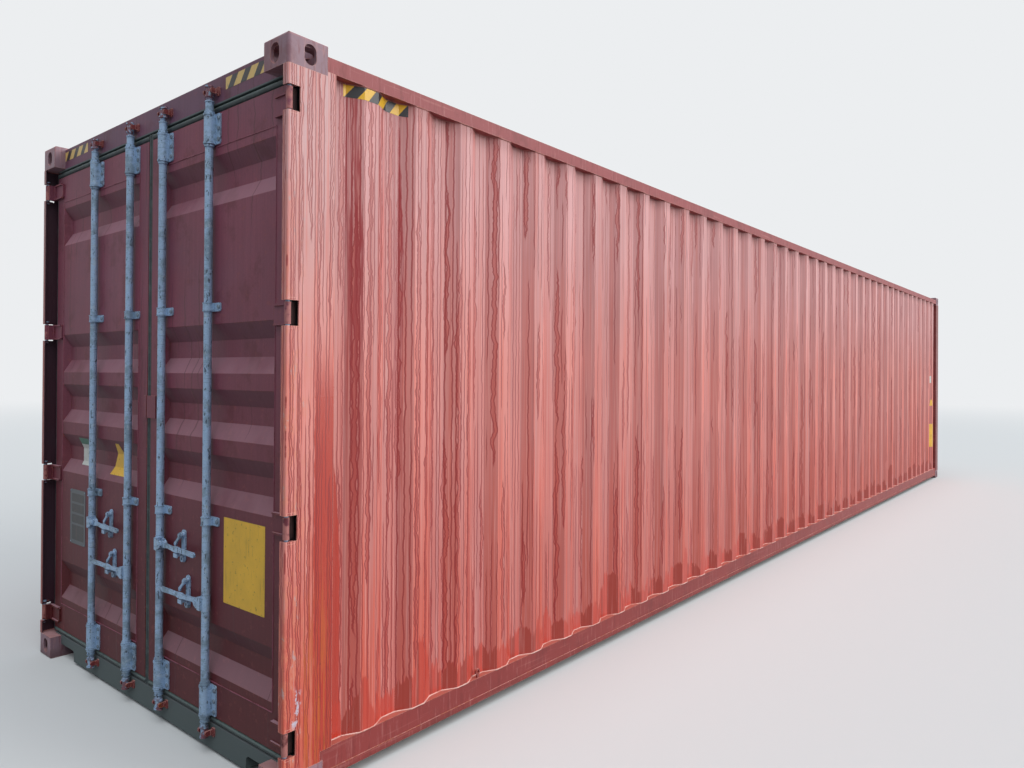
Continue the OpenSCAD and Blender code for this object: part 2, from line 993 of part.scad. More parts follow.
// Drop forged handle, bent away from the door, on the pivot bolt of its rod fork; d is the side it points to
module handle(y, d, hz) {
    n = 36;
    yy = [for (i = [0 : n]) 20 + i * (handle_length - 20) / n];
    color(paint_gear)
        door_end()
            translate([rod_in - 15, y, hz])
                mirror([0, d < 0 ? 1 : 0, 0])
                    difference() {
                        intersection() {
                            translate([0, 0, -20])
                                linear_extrude(40)
                                    polygon(concat(
                                        [for (i = [0 : n]) [handle_line(yy[i]) - 4.5, yy[i]]],
                                        [for (i = [n : -1 : 0]) [handle_line(yy[i]) + 4.5, yy[i]]]
                                    ));
                            translate([-20, 0, 0])
                                rotate([90, 0, 90])
                                    linear_extrude(40) {
                                        translate([38, 0])
                                            circle(r = 16);
                                        polygon([
                                            [38, -16], [96, -9], [150, -9], [176, -13], [200, -13], [226, -9],
                                            [handle_length - 11, -11], [handle_length - 11, 11],
                                            [226, 9], [200, 13], [176, 13], [150, 9], [96, 9], [38, 16]
                                        ]);
                                        translate([handle_length - 11, 0])
                                            circle(r = 11);
                                    }
                        }
                        translate([-1, 38, 0])
                            rotate([0, 90, 0])
                                cylinder(r = 6 + fit, h = 12);
                    }
}

// Small lever on the retainer pin, leaning down to +Y
module catch(y, hz) {
    color(paint_gear)
        door_end()
            translate([33, y, hz + 60])
                rotate([45, 0, 0])
                    difference() {
                        union() {
                            rotate([0, 90, 0])
                                cylinder(r = 13, h = 6);
                            rotate([90, 0, 90])
                                linear_extrude(6)
                                    polygon([[-12, 0], [-6, -30], [-9, -62], [9, -62], [6, -30], [12, 0]]);
                            translate([0, 0, -62])
                                rotate([0, 90, 0])
                                    cylinder(r = 10, h = 6);
                        }
                        translate([-1, 0, 0])
                            rotate([0, 90, 0])
                                cylinder(r = 5 + fit, h = 8);
                    }
}

module left_outer_lock_rod() {
    lock_rod(rod_outer, -1, leaf_low + handle_high);
}

module left_inner_lock_rod() {
    lock_rod(rod_inner, 1, leaf_low + handle_low);
}

module right_inner_lock_rod() {
    lock_rod(-rod_inner, -1, leaf_low + handle_high);
}

module right_outer_lock_rod() {
    lock_rod(-rod_outer, 1, leaf_low + handle_low);
}

module left_outer_handle() {
    handle(rod_outer, -1, leaf_low + handle_high);
}

module left_inner_handle() {
    handle(rod_inner, 1, leaf_low + handle_low);
}

module right_inner_handle() {
    handle(-rod_inner, -1, leaf_low + handle_high);
}

module right_outer_handle() {
    handle(-rod_outer, 1, leaf_low + handle_low);
}

module left_outer_catch() {
    catch(rod_outer - retainer_at, leaf_low + handle_high);
}

module left_inner_catch() {
    catch(rod_inner + retainer_at, leaf_low + handle_low);
}

module right_inner_catch() {
    catch(-rod_inner - retainer_at, leaf_low + handle_high);
}

module right_outer_catch() {
    catch(-rod_outer + retainer_at, leaf_low + handle_low);
}

top_corner_castings();
bottom_corner_castings();
rear_corner_posts();
front_corner_posts();
door_header();
door_sill();
front_top_rail();
front_bottom_rail();
top_side_rails();
bottom_side_rails();
left_side_wall();
right_side_wall();
front_wall();
roof_panel();
plywood_floor();
cross_members();
gooseneck_tunnel();
cam_keepers();
hinge_lugs();
hinge_pins();
door_holdback_eyes();
left_door_frame();
left_door_panel();
left_door_gasket();
left_door_hinges();
left_rod_brackets();
left_handle_retainers();
right_door_frame();
right_door_panel();
right_door_gasket();
right_door_hinges();
right_rod_brackets();
right_handle_retainers();
left_outer_lock_rod();
left_inner_lock_rod();
right_inner_lock_rod();
right_outer_lock_rod();
left_outer_handle();
left_inner_handle();
right_inner_handle();
right_outer_handle();
left_outer_catch();
left_inner_catch();
right_inner_catch();
right_outer_catch();
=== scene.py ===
import math

import bmesh
import bpy
from bpy.props import FloatProperty, FloatVectorProperty, IntProperty, PointerProperty
from mathutils import Matrix, Vector


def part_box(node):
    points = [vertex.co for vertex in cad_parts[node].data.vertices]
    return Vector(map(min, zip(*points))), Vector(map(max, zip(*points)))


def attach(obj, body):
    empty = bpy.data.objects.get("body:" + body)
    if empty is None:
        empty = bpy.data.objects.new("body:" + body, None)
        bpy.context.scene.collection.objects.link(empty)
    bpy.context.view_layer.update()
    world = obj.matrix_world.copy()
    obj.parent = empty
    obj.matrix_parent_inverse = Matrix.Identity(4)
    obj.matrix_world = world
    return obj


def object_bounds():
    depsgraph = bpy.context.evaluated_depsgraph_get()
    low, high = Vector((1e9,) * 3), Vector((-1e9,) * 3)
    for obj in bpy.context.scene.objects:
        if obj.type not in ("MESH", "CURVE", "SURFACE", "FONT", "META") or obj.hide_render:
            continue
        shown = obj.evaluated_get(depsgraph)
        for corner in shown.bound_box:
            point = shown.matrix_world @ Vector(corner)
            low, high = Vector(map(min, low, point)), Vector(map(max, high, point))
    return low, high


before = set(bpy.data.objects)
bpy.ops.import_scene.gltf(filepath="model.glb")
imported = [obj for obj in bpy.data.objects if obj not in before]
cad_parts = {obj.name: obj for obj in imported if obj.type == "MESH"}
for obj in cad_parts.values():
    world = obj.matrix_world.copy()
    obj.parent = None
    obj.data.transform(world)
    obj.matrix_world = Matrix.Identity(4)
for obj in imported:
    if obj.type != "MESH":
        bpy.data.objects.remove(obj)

bl_info = {
    "name": "Freight container finish",
    "version": (1, 0, 0),
    "blender": (4, 5, 0),
    "location": "View3D > Sidebar > Container",
    "description": "Weathered paint, stripes, plates, fixings, welds and stage around the steel container",
    "category": "Object",
}

CAD_BOX = [list(corner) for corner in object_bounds()]
DOOR_END = CAD_BOX[0][0]
HALF_WIDTH = CAD_BOX[1][1]
HEIGHT = CAD_BOX[1][2]
DOOR_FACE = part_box("door_header")[0].x
RAIL_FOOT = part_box("left_side_wall")[0].z
RAIL_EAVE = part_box("left_side_wall")[1].z
CREST_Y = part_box("left_side_wall")[1].y
FLOOR_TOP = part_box("plywood_floor")[1].z
LEAF_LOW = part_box("left_door_frame")[0].z
LEAF_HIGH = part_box("left_door_frame")[1].z
LEAF_MID = (LEAF_LOW + LEAF_HIGH) / 2
ROD_Y = {"outer": 0.589, "inner": 0.170}
PANEL_EDGE_Y = (0.112, 1.061)
PANEL_EDGE_Z = (0.300, 2.586)
RECESS_Z = (0.443, 1.163, 1.443, 1.723, 2.443)
RECESS_HALF = 0.106
RECESS_DEPTH = 0.034
RECESS_SLOPE = 0.069
PLATE_THICK = 0.0015
SCREW_ROWS = 38
SCREW_SPAN = 11.532
SCREW_Y = (-1.13, -0.85, -0.58, -0.31, -0.05, 0.05, 0.31, 0.58, 0.85, 1.13)
CAMERA_PLACE = (-7.699, -3.630, 1.622)
CAMERA_DEGREES = (39.61, 0.238, 0.375)
CAMERA_SHIFT = (0.0006, -0.0126)
SEED = 7


def srgb(red, green, blue):
    """Linear colour with alpha from 0 to 255 values."""
    parts = [value / 255 for value in (red, green, blue)]
    return (*(part / 12.92 if part < 11 / 255 else ((part + 0.055) / 1.055) ** 2.4 for part in parts), 1.0)


def colour(label, hint, *rgb):
    """Colour property with its default given in 0 to 255 values."""
    return FloatVectorProperty(
        name=label, description=hint, subtype="COLOR", size=4, min=0, max=1, default=srgb(*rgb)
    )


def size(label, hint, default, low=0.0, high=20.0):
    """Length property in metres."""
    return FloatProperty(
        name=label, description=hint, default=default, min=low, max=high,
        subtype="DISTANCE", unit="LENGTH", precision=4,
    )


def share(label, hint, default, high=1.0):
    """Plain factor property."""
    return FloatProperty(name=label, description=hint, default=default, min=0.0, max=high)


# Sizes and colours that a user would change


class PaintSettings(bpy.types.PropertyGroup):
    side_top: colour("Side film, top", "Chalked paint of the side walls near the top rail", 228, 172, 172)
    side_mid: colour("Side film, middle", "Chalked paint of the side walls at mid height", 228, 144, 135)
    side_low: colour("Side film, low", "Chalked paint of the side walls near the floor", 204, 92, 75)
    side_coral: colour("Side film, thin", "Side paint where the chalk is thin", 218, 98, 78)
    # side_grey is the thick chalk colour, and also the painted shade in the floors of the side wall folds
    side_grey: colour("Side film, thick", "Side paint where the chalk is thick", 182, 126, 126)
    # side_pale is the pale fibre colour, and also the painted highlight along the side wall fold edges
    side_pale: colour("Side film, pale", "Pale fibres and fold edges of the side paint", 232, 178, 172)
    side_wet: colour("Side paint, wet", "Side paint where rain has soaked the chalk", 178, 60, 50)
    side_rim: colour("Run edge", "Thin dark line around each rain run", 146, 34, 34)
    foot_bright: colour("Foot, bright", "Soaked paint at the foot of the walls", 196, 60, 42)
    # foot_dark is soaked dark paint, and also painted shade on the foot of the fold slopes that face the door
    # end
    foot_dark: colour("Foot, dark", "Soaked dark paint at the foot of the walls", 140, 52, 42)
    door: colour("Door paint", "Paint of the two leaves and their frame", 130, 67, 84)
    # door_wet colours the drips, and the door also grows darker towards the bottom in this colour
    door_wet: colour("Door paint, wet", "Door paint below the drips", 84, 30, 34)
    rail: colour("Rail paint", "Paint of the bottom rails", 142, 58, 56)
    rail_high: colour("Top rail paint", "Paint of the top rails", 158, 76, 78)
    under: colour("Underside paint", "Paint of cross members and tunnel", 84, 52, 48)
    inner: colour("Inside paint", "Paint of the cargo space", 156, 88, 84)
    # the blue in gear is partly a painted reflection of the sky on the grey zinc
    gear: colour("Gear paint", "Grey blue finish of rods, brackets and handles", 158, 186, 216)
    rubber: colour("Gasket", "Door gasket", 50, 60, 62)
    wood: colour("Floor board", "Oiled plywood floor", 128, 84, 52)
    rust_light: colour("Rust, light", "Fresh orange rust", 196, 108, 52)
    rust_dark: colour("Rust, dark", "Old brown rust", 84, 44, 34)
    runs: share("Rain runs", "Strength of the rain runs on the side walls", 0.85)


class StripeSettings(bpy.types.PropertyGroup):
    yellow: colour("Yellow", "Yellow of the stripes and the bare patch", 238, 186, 44)
    black: colour("Black", "Black of the stripes", 26, 26, 30)
    pitch: size("Pitch", "One yellow and one black stripe together", 0.100, 0.05, 0.3)
    yellow_part: share("Yellow part", "Part of the pitch that is yellow", 0.53)
    slant: size("Slant", "Shift of a stripe between its lower and upper edge", 0.038, 0.0, 0.2)
    low: size("Lower edge", "Header stripes, lower edge", 2.818)
    high: size("Upper edge", "Header stripes, upper edge", 2.868)
    side_low: size("Side, lower edge", "Side stripes, lower edge", 2.740)
    side_high: size("Side, upper edge", "Side stripes, upper edge", 2.790)
    side_end: size("Side, length", "Side stripes end this far from the door end", 0.618)
    film: size("Film", "Thickness of the adhesive film", 0.0005, 0.0002, 0.002)


class FixingSettings(bpy.types.PropertyGroup):
    bolt_radius: size("Bolt radius", "Half the width over the corners of a bolt head", 0.0095, 0.004, 0.02)
    bolt_height: size("Bolt height", "Height of a bolt head", 0.0055, 0.002, 0.006)
    screw_radius: size("Screw radius", "Radius of a floor screw head", 0.007, 0.003, 0.012)
    screw_height: size("Screw height", "How far a floor screw head stands proud", 0.0012, 0.0005, 0.003)
    weld_radius: size("Weld radius", "Half thickness of a weld bead", 0.0035, 0.001, 0.008)
    seal_radius: size("Sealant radius", "Half thickness of the sealant below the walls", 0.0032, 0.001, 0.008)
    ripple: share("Ripple", "How much a bead's thickness changes along its run", 0.35)


class StageSettings(bpy.types.PropertyGroup):
    floor: colour("Floor", "Colour of the floor as the camera sees it", 214, 215, 214)
    floor_bounce: colour("Floor bounce", "Colour of the floor for the light it throws back", 120, 118, 116)
    backdrop: colour("Backdrop", "Pale background", 236, 238, 240)
    sky: colour("Sky", "Even light from all round", 226, 236, 250)
    sky_level: share("Sky level", "Strength of the even light", 0.34, 4.0)
    high_level: share("High light", "Strength of the soft light from above the door corner", 2.0, 10.0)
    key_level: share("Key light", "Strength of the soft light on the long side", 1.9, 10.0)
    lens: FloatProperty(name="Lens", description="Focal length in mm", default=26.30, min=10, max=200)


# Nodes


class Tree:
    """Adds nodes to a node tree with their values and links in one call."""

    def __init__(self, tree):
        self.tree = tree

    def fill(self, socket, value):
        if isinstance(value, bpy.types.NodeSocket):
            self.tree.links.new(value, socket)
        elif value is not None:
            socket.default_value = value

    def put(self, kind, values=None, **settings):
        node = self.tree.nodes.new(kind)
        for key, value in settings.items():
            setattr(node, key, value)
        for key, value in (values or {}).items():
            self.fill(node.inputs[key], value)
        return node

    def math(self, operation, *values, clamp=False):
        node = self.put("ShaderNodeMath", dict(enumerate(values)), operation=operation, use_clamp=clamp)
        return node.outputs[0]

    def times(self, first, second):
        return self.math("MULTIPLY", first, second)

    def times_plus(self, first, second, third):
        return self.math("MULTIPLY_ADD", first, second, third)

    def less(self, first, second):
        return self.math("SUBTRACT", first, second)

    def absolute(self, value):
        return self.math("ABSOLUTE", value)

    def ramp(self, value, low, high, to_low=0.0, to_high=1.0, shape="SMOOTHSTEP"):
        values = {"Value": value, "From Min": low, "From Max": high, "To Min": to_low, "To Max": to_high}
        return self.put("ShaderNodeMapRange", values, interpolation_type=shape).outputs["Result"]

    def mix(self, factor, first, second, mode="MIX"):
        node = self.put("ShaderNodeMix", {0: factor, 6: first, 7: second}, data_type="RGBA", blend_type=mode)
        return node.outputs[2]

    def vector(self, x, y, z):
        return self.put("ShaderNodeCombineXYZ", {0: x, 1: y, 2: z}).outputs[0]

    def split(self, vector):
        return self.put("ShaderNodeSeparateXYZ", {0: vector}).outputs

    def noise(self, vector, scale, detail=2.0, rough=0.5):
        values = {"Vector": vector, "Scale": scale, "Detail": detail, "Roughness": rough}
        return self.put("ShaderNodeTexNoise", values).outputs["Fac"]

    def both(self, *masks):
        """Product of masks."""
        product = masks[0]
        for mask in masks[1:]:
            product = self.times(product, mask)
        return product

    def either(self, *masks):
        """Highest of masks."""
        highest = masks[0]
        for mask in masks[1:]:
            highest = self.math("MAXIMUM", highest, mask)
        return highest


FLOAT, VECTOR, COLOUR = "NodeSocketFloat", "NodeSocketVector", "NodeSocketColor"


def cleared_tree(owner):
    """Empty node tree of a material or world."""
    owner.use_nodes = True
    owner.node_tree.nodes.clear()
    return Tree(owner.node_tree)


def linked(name, data):
    """A new object in the scene."""
    obj = bpy.data.objects.new(name, data)
    bpy.context.scene.collection.objects.link(obj)
    return obj


def shader_group(name, inputs, outputs, build):
    """Shader node group whose outputs are what build returns by name."""
    tree = bpy.data.node_groups.new(name, "ShaderNodeTree")
    for label, kind, default in inputs:
        socket = tree.interface.new_socket(label, in_out="INPUT", socket_type=kind)
        if default is not None:
            socket.default_value = default
    for label, kind in outputs:
        tree.interface.new_socket(label, in_out="OUTPUT", socket_type=kind)
    t = Tree(tree)
    source = tree.nodes.new("NodeGroupInput")
    sink = tree.nodes.new("NodeGroupOutput")
    for label, value in build(t, source.outputs).items():
        t.fill(sink.inputs[label], value)
    return tree


def rain_runs(t, given):
    """Long thin runs of water down a sheet, one to a lane, and the dark line round each."""
    rise = given["Rise"]
    place = t.times(given["Across"], given["Per metre"])
    lane = t.math("FLOOR", place)
    middle = t.less(t.less(place, lane), 0.5)
    chance = t.put("ShaderNodeTexWhiteNoise", {"Vector": t.vector(lane, given["Seed"], 0.0)}).outputs["Value"]
    sway = t.noise(t.vector(t.times(lane, 3.7), given["Seed"], t.times(rise, 7.0)), 1.0, 5.0, 0.6)
    centre = t.times_plus(t.less(chance, 0.5), 0.5, t.less(sway, 0.5))
    gap = t.math("DIVIDE", t.absolute(t.less(middle, centre)), given["Per metre"])
    drop = t.noise(t.vector(t.times(lane, 5.1), given["Seed"], t.times(rise, 0.9)), 1.0, 1.0)
    flow = t.ramp(drop, given["Gate"], t.math("ADD", given["Gate"], 0.10))
    swell = t.noise(t.vector(lane, given["Seed"], t.times(rise, 15.0)), 1.0, 2.0)
    half = t.both(flow, given["Half width"], t.times_plus(swell, 1.4, 0.3))
    run = t.ramp(t.less(half, gap), -0.0004, 0.0008)
    rim = t.ramp(t.absolute(t.less(gap, half)), t.times(given["Line"], 0.5), given["Line"], 1.0, 0.0)
    return {"Run": run, "Rim": t.both(rim, t.ramp(flow, 0.0, 0.15))}


def wet_foot(t, given):
    """Soaked band at the foot of a wall, with tongues that reach up."""
    x, y, z = t.split(given["Point"])
    across = t.math("ADD", x, y)
    broad = t.noise(t.vector(t.times(across, 4.5), 3.0, 0.0), 1.0, 2.0, 0.5)
    fine = t.noise(t.vector(t.times(across, 30.0), 5.0, t.times(z, 2.0)), 1.0, 3.0, 0.65)
    tongue = t.math("POWER", t.ramp(broad, 0.40, 0.80), 2.0)
    edge = t.times_plus(tongue, given["Reach"], given["Height"])
    edge = t.times_plus(t.less(fine, 0.5), t.times(given["Height"], 1.3), edge)
    return {"Mask": t.ramp(t.less(edge, z), -0.004, 0.010)}


def paint_grain(t, given):
    """Soft cloudiness, fine upright fibre and small specks of old paint."""
    x, y, z = t.split(given["Point"])
    across = t.math("ADD", x, y)
    cloud = t.noise(given["Point"], 1.7, 4.0, 0.6)
    fibre = t.noise(t.vector(t.times(across, 150.0), 0.0, t.times(z, 3.0)), 1.0, 2.0, 0.6)
    speck = t.noise(given["Point"], 120.0, 2.0, 0.6)
    return {"Cloud": cloud, "Fibre": fibre, "Speck": speck}


def edge_wear_and_highlight(t, given):
    """Worn paint along edges, broken up by noise; the same mask also lays the painted highlight on the side
    wall folds.
    """
    bevel = t.put("ShaderNodeBevel", {"Radius": given["Radius"]}, samples=4).outputs[0]
    flat = t.put("ShaderNodeNewGeometry").outputs["Normal"]
    turn = t.put("ShaderNodeVectorMath", {0: bevel, 1: flat}, operation="DOT_PRODUCT").outputs["Value"]
    patchy = t.noise(given["Point"], 34.0, 4.0, 0.65)
    edge = t.ramp(turn, 0.985, 0.90)
    limit = t.less(1.0, given["Amount"])
    return {"Mask": t.both(edge, t.ramp(patchy, t.times(limit, 0.72), t.times_plus(limit, 0.72, 0.1)))}


def rust_bloom(t, given):
    """Patches of rust that run down a little, and their colour."""
    x, y, z = t.split(given["Point"])
    drawn = t.vector(x, y, t.times(z, given["Run"]))
    patch = t.noise(drawn, given["Scale"], 5.0, 0.68)
    limit = t.less(0.80, t.times(given["Amount"], 0.42))
    mask = t.ramp(patch, limit, t.math("ADD", limit, 0.05))
    tone = t.ramp(t.noise(given["Point"], 26.0, 4.0, 0.6), 0.38, 0.62)
    return {"Mask": mask, "Colour": t.mix(tone, given["Dark"], given["Light"])}


def road_dirt(t, given):
    """Grey brown splash that fades upwards."""
    z = t.split(given["Point"])[2]
    splash = t.noise(given["Point"], 9.0, 5.0, 0.7)
    height = t.times_plus(splash, given["Height"], t.times(given["Height"], -0.1))
    return {"Mask": t.ramp(z, 0.0, height, 1.0, 0.0)}


POINT = ("Point", VECTOR, None)
GROUP_PLANS = {
    "Rain runs": (
        rain_runs,
        [
            ("Across", FLOAT, 0.0), ("Rise", FLOAT, 0.0), ("Per metre", FLOAT, 26.0),
            ("Half width", FLOAT, 0.006), ("Line", FLOAT, 0.002), ("Gate", FLOAT, 0.5), ("Seed", FLOAT, 1.0),
        ],
        [("Run", FLOAT), ("Rim", FLOAT)],
    ),
    "Wet foot": (wet_foot, [POINT, ("Height", FLOAT, 0.25), ("Reach", FLOAT, 0.6)], [("Mask", FLOAT)]),
    "Paint grain": (paint_grain, [POINT], [("Cloud", FLOAT), ("Fibre", FLOAT), ("Speck", FLOAT)]),
    "Edge wear and highlight": (edge_wear_and_highlight, [POINT, ("Radius", FLOAT, 0.006), ("Amount", FLOAT, 0.4)], [("Mask", FLOAT)]),
    "Rust bloom": (
        rust_bloom,
        [
            POINT, ("Scale", FLOAT, 6.0), ("Run", FLOAT, 0.4), ("Amount", FLOAT, 0.3),
            ("Light", COLOUR, srgb(196, 108, 52)), ("Dark", COLOUR, srgb(84, 44, 34)),
        ],
        [("Mask", FLOAT), ("Colour", COLOUR)],
    ),
    "Road dirt": (road_dirt, [POINT, ("Height", FLOAT, 0.5)], [("Mask", FLOAT)]),
}


def group(t, name, **values):
    """Places a shared group in a material, with its inputs by name."""
    if name not in bpy.data.node_groups:
        build, inputs, outputs = GROUP_PLANS[name]
        shader_group(name, inputs, outputs, build)
    node = t.put("ShaderNodeGroup", node_tree=bpy.data.node_groups[name])
    for key, value in values.items():
        t.fill(node.inputs[key.replace("_", " ")], value)
    return node.outputs


class Finish:
    """A material with its Principled shader, object coordinates and layers of colour."""

    def __init__(self, name, base, rough, metallic=0.0, specular=0.5):
        self.material = bpy.data.materials.new(name)
        self.material.diffuse_color = base
        self.t = cleared_tree(self.material)
        place = self.t.put("ShaderNodeTexCoord")
        self.point = place.outputs["Object"]
        self.normal = place.outputs["Normal"]
        self.x, self.y, self.z = self.t.split(self.point)
        self.across = self.t.math("ADD", self.x, self.y)
        self.colour = base
        self.rough = rough
        self.height = None
        self.metallic = metallic
        self.specular = specular

    def layer(self, mask, tone, rough=None, amount=1.0):
        """Lays a colour over what is there, where mask is."""
        mask = self.t.times(mask, amount) if amount != 1.0 else mask
        self.colour = self.t.mix(mask, self.colour, tone)
        if rough is not None:
            self.rough = self.t.ramp(mask, 0.0, 1.0, self.rough, rough, "LINEAR")

    def shade(self, value, low, high):
        """Darkens and lightens by a value from 0 to 1."""
        grey = self.t.ramp(value, 0.25, 0.75, low, high, "LINEAR")
        self.colour = self.t.mix(1.0, self.colour, self.t.vector(grey, grey, grey), "MULTIPLY")

    def relief(self, value, depth):
        """Adds a height in metres."""
        raised = self.t.times(value, depth)
        self.height = raised if self.height is None else self.t.math("ADD", self.height, raised)

    def along(self):
        """Distance from the door end."""
        return self.t.less(self.x, DOOR_END)

    def drawn(self, by_x=1.0, by_y=1.0, by_z=1.0):
        """Object coordinates, each multiplied by its own factor."""
        parts = ((self.x, by_x), (self.y, by_y), (self.z, by_z))
        return self.t.vector(*(part if by == 1.0 else self.t.times(part, by) for part, by in parts))

    def noise(self, scale, detail=2.0, rough=0.5):
        """Noise over the object coordinates."""
        return self.t.noise(self.point, scale, detail, rough)

    def grain(self):
        """The shared cloud, fibre and speck of the paint."""
        return group(self.t, "Paint grain", Point=self.point)

    def edges(self, radius, amount):
        """Mask of worn edges, also of the painted highlight on the side wall folds."""
        return group(self.t, "Edge wear and highlight", Point=self.point, Radius=radius, Amount=amount)["Mask"]

    def upright(self, per_metre, per_rise, seed, detail=2.0, rough=0.5):
        """Noise drawn out along the height of a wall."""
        across = self.t.times(self.across, per_metre)
        rise = self.t.times(self.z, per_rise)
        return self.t.noise(self.t.vector(across, seed, rise), 1.0, detail, rough)

    def spread(self, value, low, high, tone, rough=None, amount=1.0):
        """Lays a colour where a value has risen from low to high."""
        self.layer(self.t.ramp(value, low, high), tone, rough, amount)

    def close(self):
        """Joins all to the shader."""
        t = self.t
        values = {"Base Color": self.colour, "Roughness": self.rough, "Metallic": self.metallic}
        shader = t.put("ShaderNodeBsdfPrincipled", values)
        shader.inputs["Specular IOR Level"].default_value = self.specular
        if self.height is not None:
            bump = t.put("ShaderNodeBump", {"Height": self.height, "Distance": 1.0, "Strength": 1.0})
            t.fill(shader.inputs["Normal"], bump.outputs[0])
        t.put("ShaderNodeOutputMaterial", {"Surface": shader.outputs[0]})
        return self.material


def outward(f, side):
    """Mask of the outer faces of a sheet on one side of the container."""
    axis, sign = {"wall": (1, f.y), "door": (0, -1.0), "front": (0, 1.0), "roof": (2, 1.0)}[side]
    return f.t.ramp(f.t.times(f.t.split(f.normal)[axis], sign), -0.02, 0.02, shape="LINEAR")


def rust_layer(f, p, scale, run, amount, gate=None, strength=1.0):
    """Rust bloom over a finish, kept to where gate is."""
    rust = group(
        f.t, "Rust bloom", Point=f.point, Scale=scale, Run=run, Amount=amount,
        Light=p.rust_light, Dark=p.rust_dark,
    )
    mask = rust["Mask"] if gate is None else f.t.both(rust["Mask"], gate)
    f.layer(mask, rust["Colour"], 0.88, strength)
    f.relief(mask, 0.0003)


def wear_layer(f, p, radius, amount, strength=0.9):
    """Rusty or bare steel edges."""
    f.layer(f.edges(radius, amount), f.t.mix(f.noise(60.0, 3.0), p.rust_dark, p.rust_light), 0.8, strength)


def dirt_layer(f, height, tone, amount):
    """Splash of yard dirt near the ground."""
    dirt = group(f.t, "Road dirt", Point=f.point, Height=height)
    f.layer(dirt["Mask"], tone, 0.85, amount)


def runs_layer(f, p, per_metre, half, line, gate, seed, fill, edge):
    """Rain runs over a finish: fill and edge are their strengths."""
    runs = group(
        f.t, "Rain runs", Across=f.across, Rise=f.z, Per_metre=per_metre, Half_width=half,
        Line=line, Gate=gate, Seed=seed,
    )
    if fill:
        f.layer(runs["Run"], p.side_wet[:], 0.34, fill * p.runs)
    f.layer(runs["Rim"], p.side_rim[:], 0.42, edge * p.runs)
    return runs["Rim"]


def soaked_column(f, near, far, top, seed):
    """Mask of a soaked column between two distances from the door end that thins out upwards."""
    t = f.t
    s_along = f.along()
    ragged = t.times_plus(f.upright(0.0, 7.0, seed, 5.0, 0.6), 0.03, -0.015)
    place = t.math("ADD", s_along, ragged)
    right = t.ramp(f.z, top, top - 0.8, (near + far) / 2, far, "LINEAR")
    left_side = t.ramp(t.less(place, near), -0.002, 0.003)
    right_side = t.ramp(t.less(right, place), -0.002, 0.003)
    return t.both(left_side, right_side, t.ramp(f.z, top + 0.05, top - 0.25))


def faded_film(f, p, top):
    """Base colour of the side paint, red near the floor and chalked near the top rail."""
    f.colour = f.t.mix(f.t.ramp(f.z, 0.3, 1.5), p.side_low[:], p.side_mid[:])
    f.colour = f.t.mix(f.t.ramp(f.z, 1.5, 2.6), f.colour, top)


def post_column(f):
    """Soaked red column that runs down behind each door end post."""
    f.layer(soaked_column(f, 0.128, 0.282, 1.75, 31.0), srgb(186, 58, 42), 0.24, 0.92)


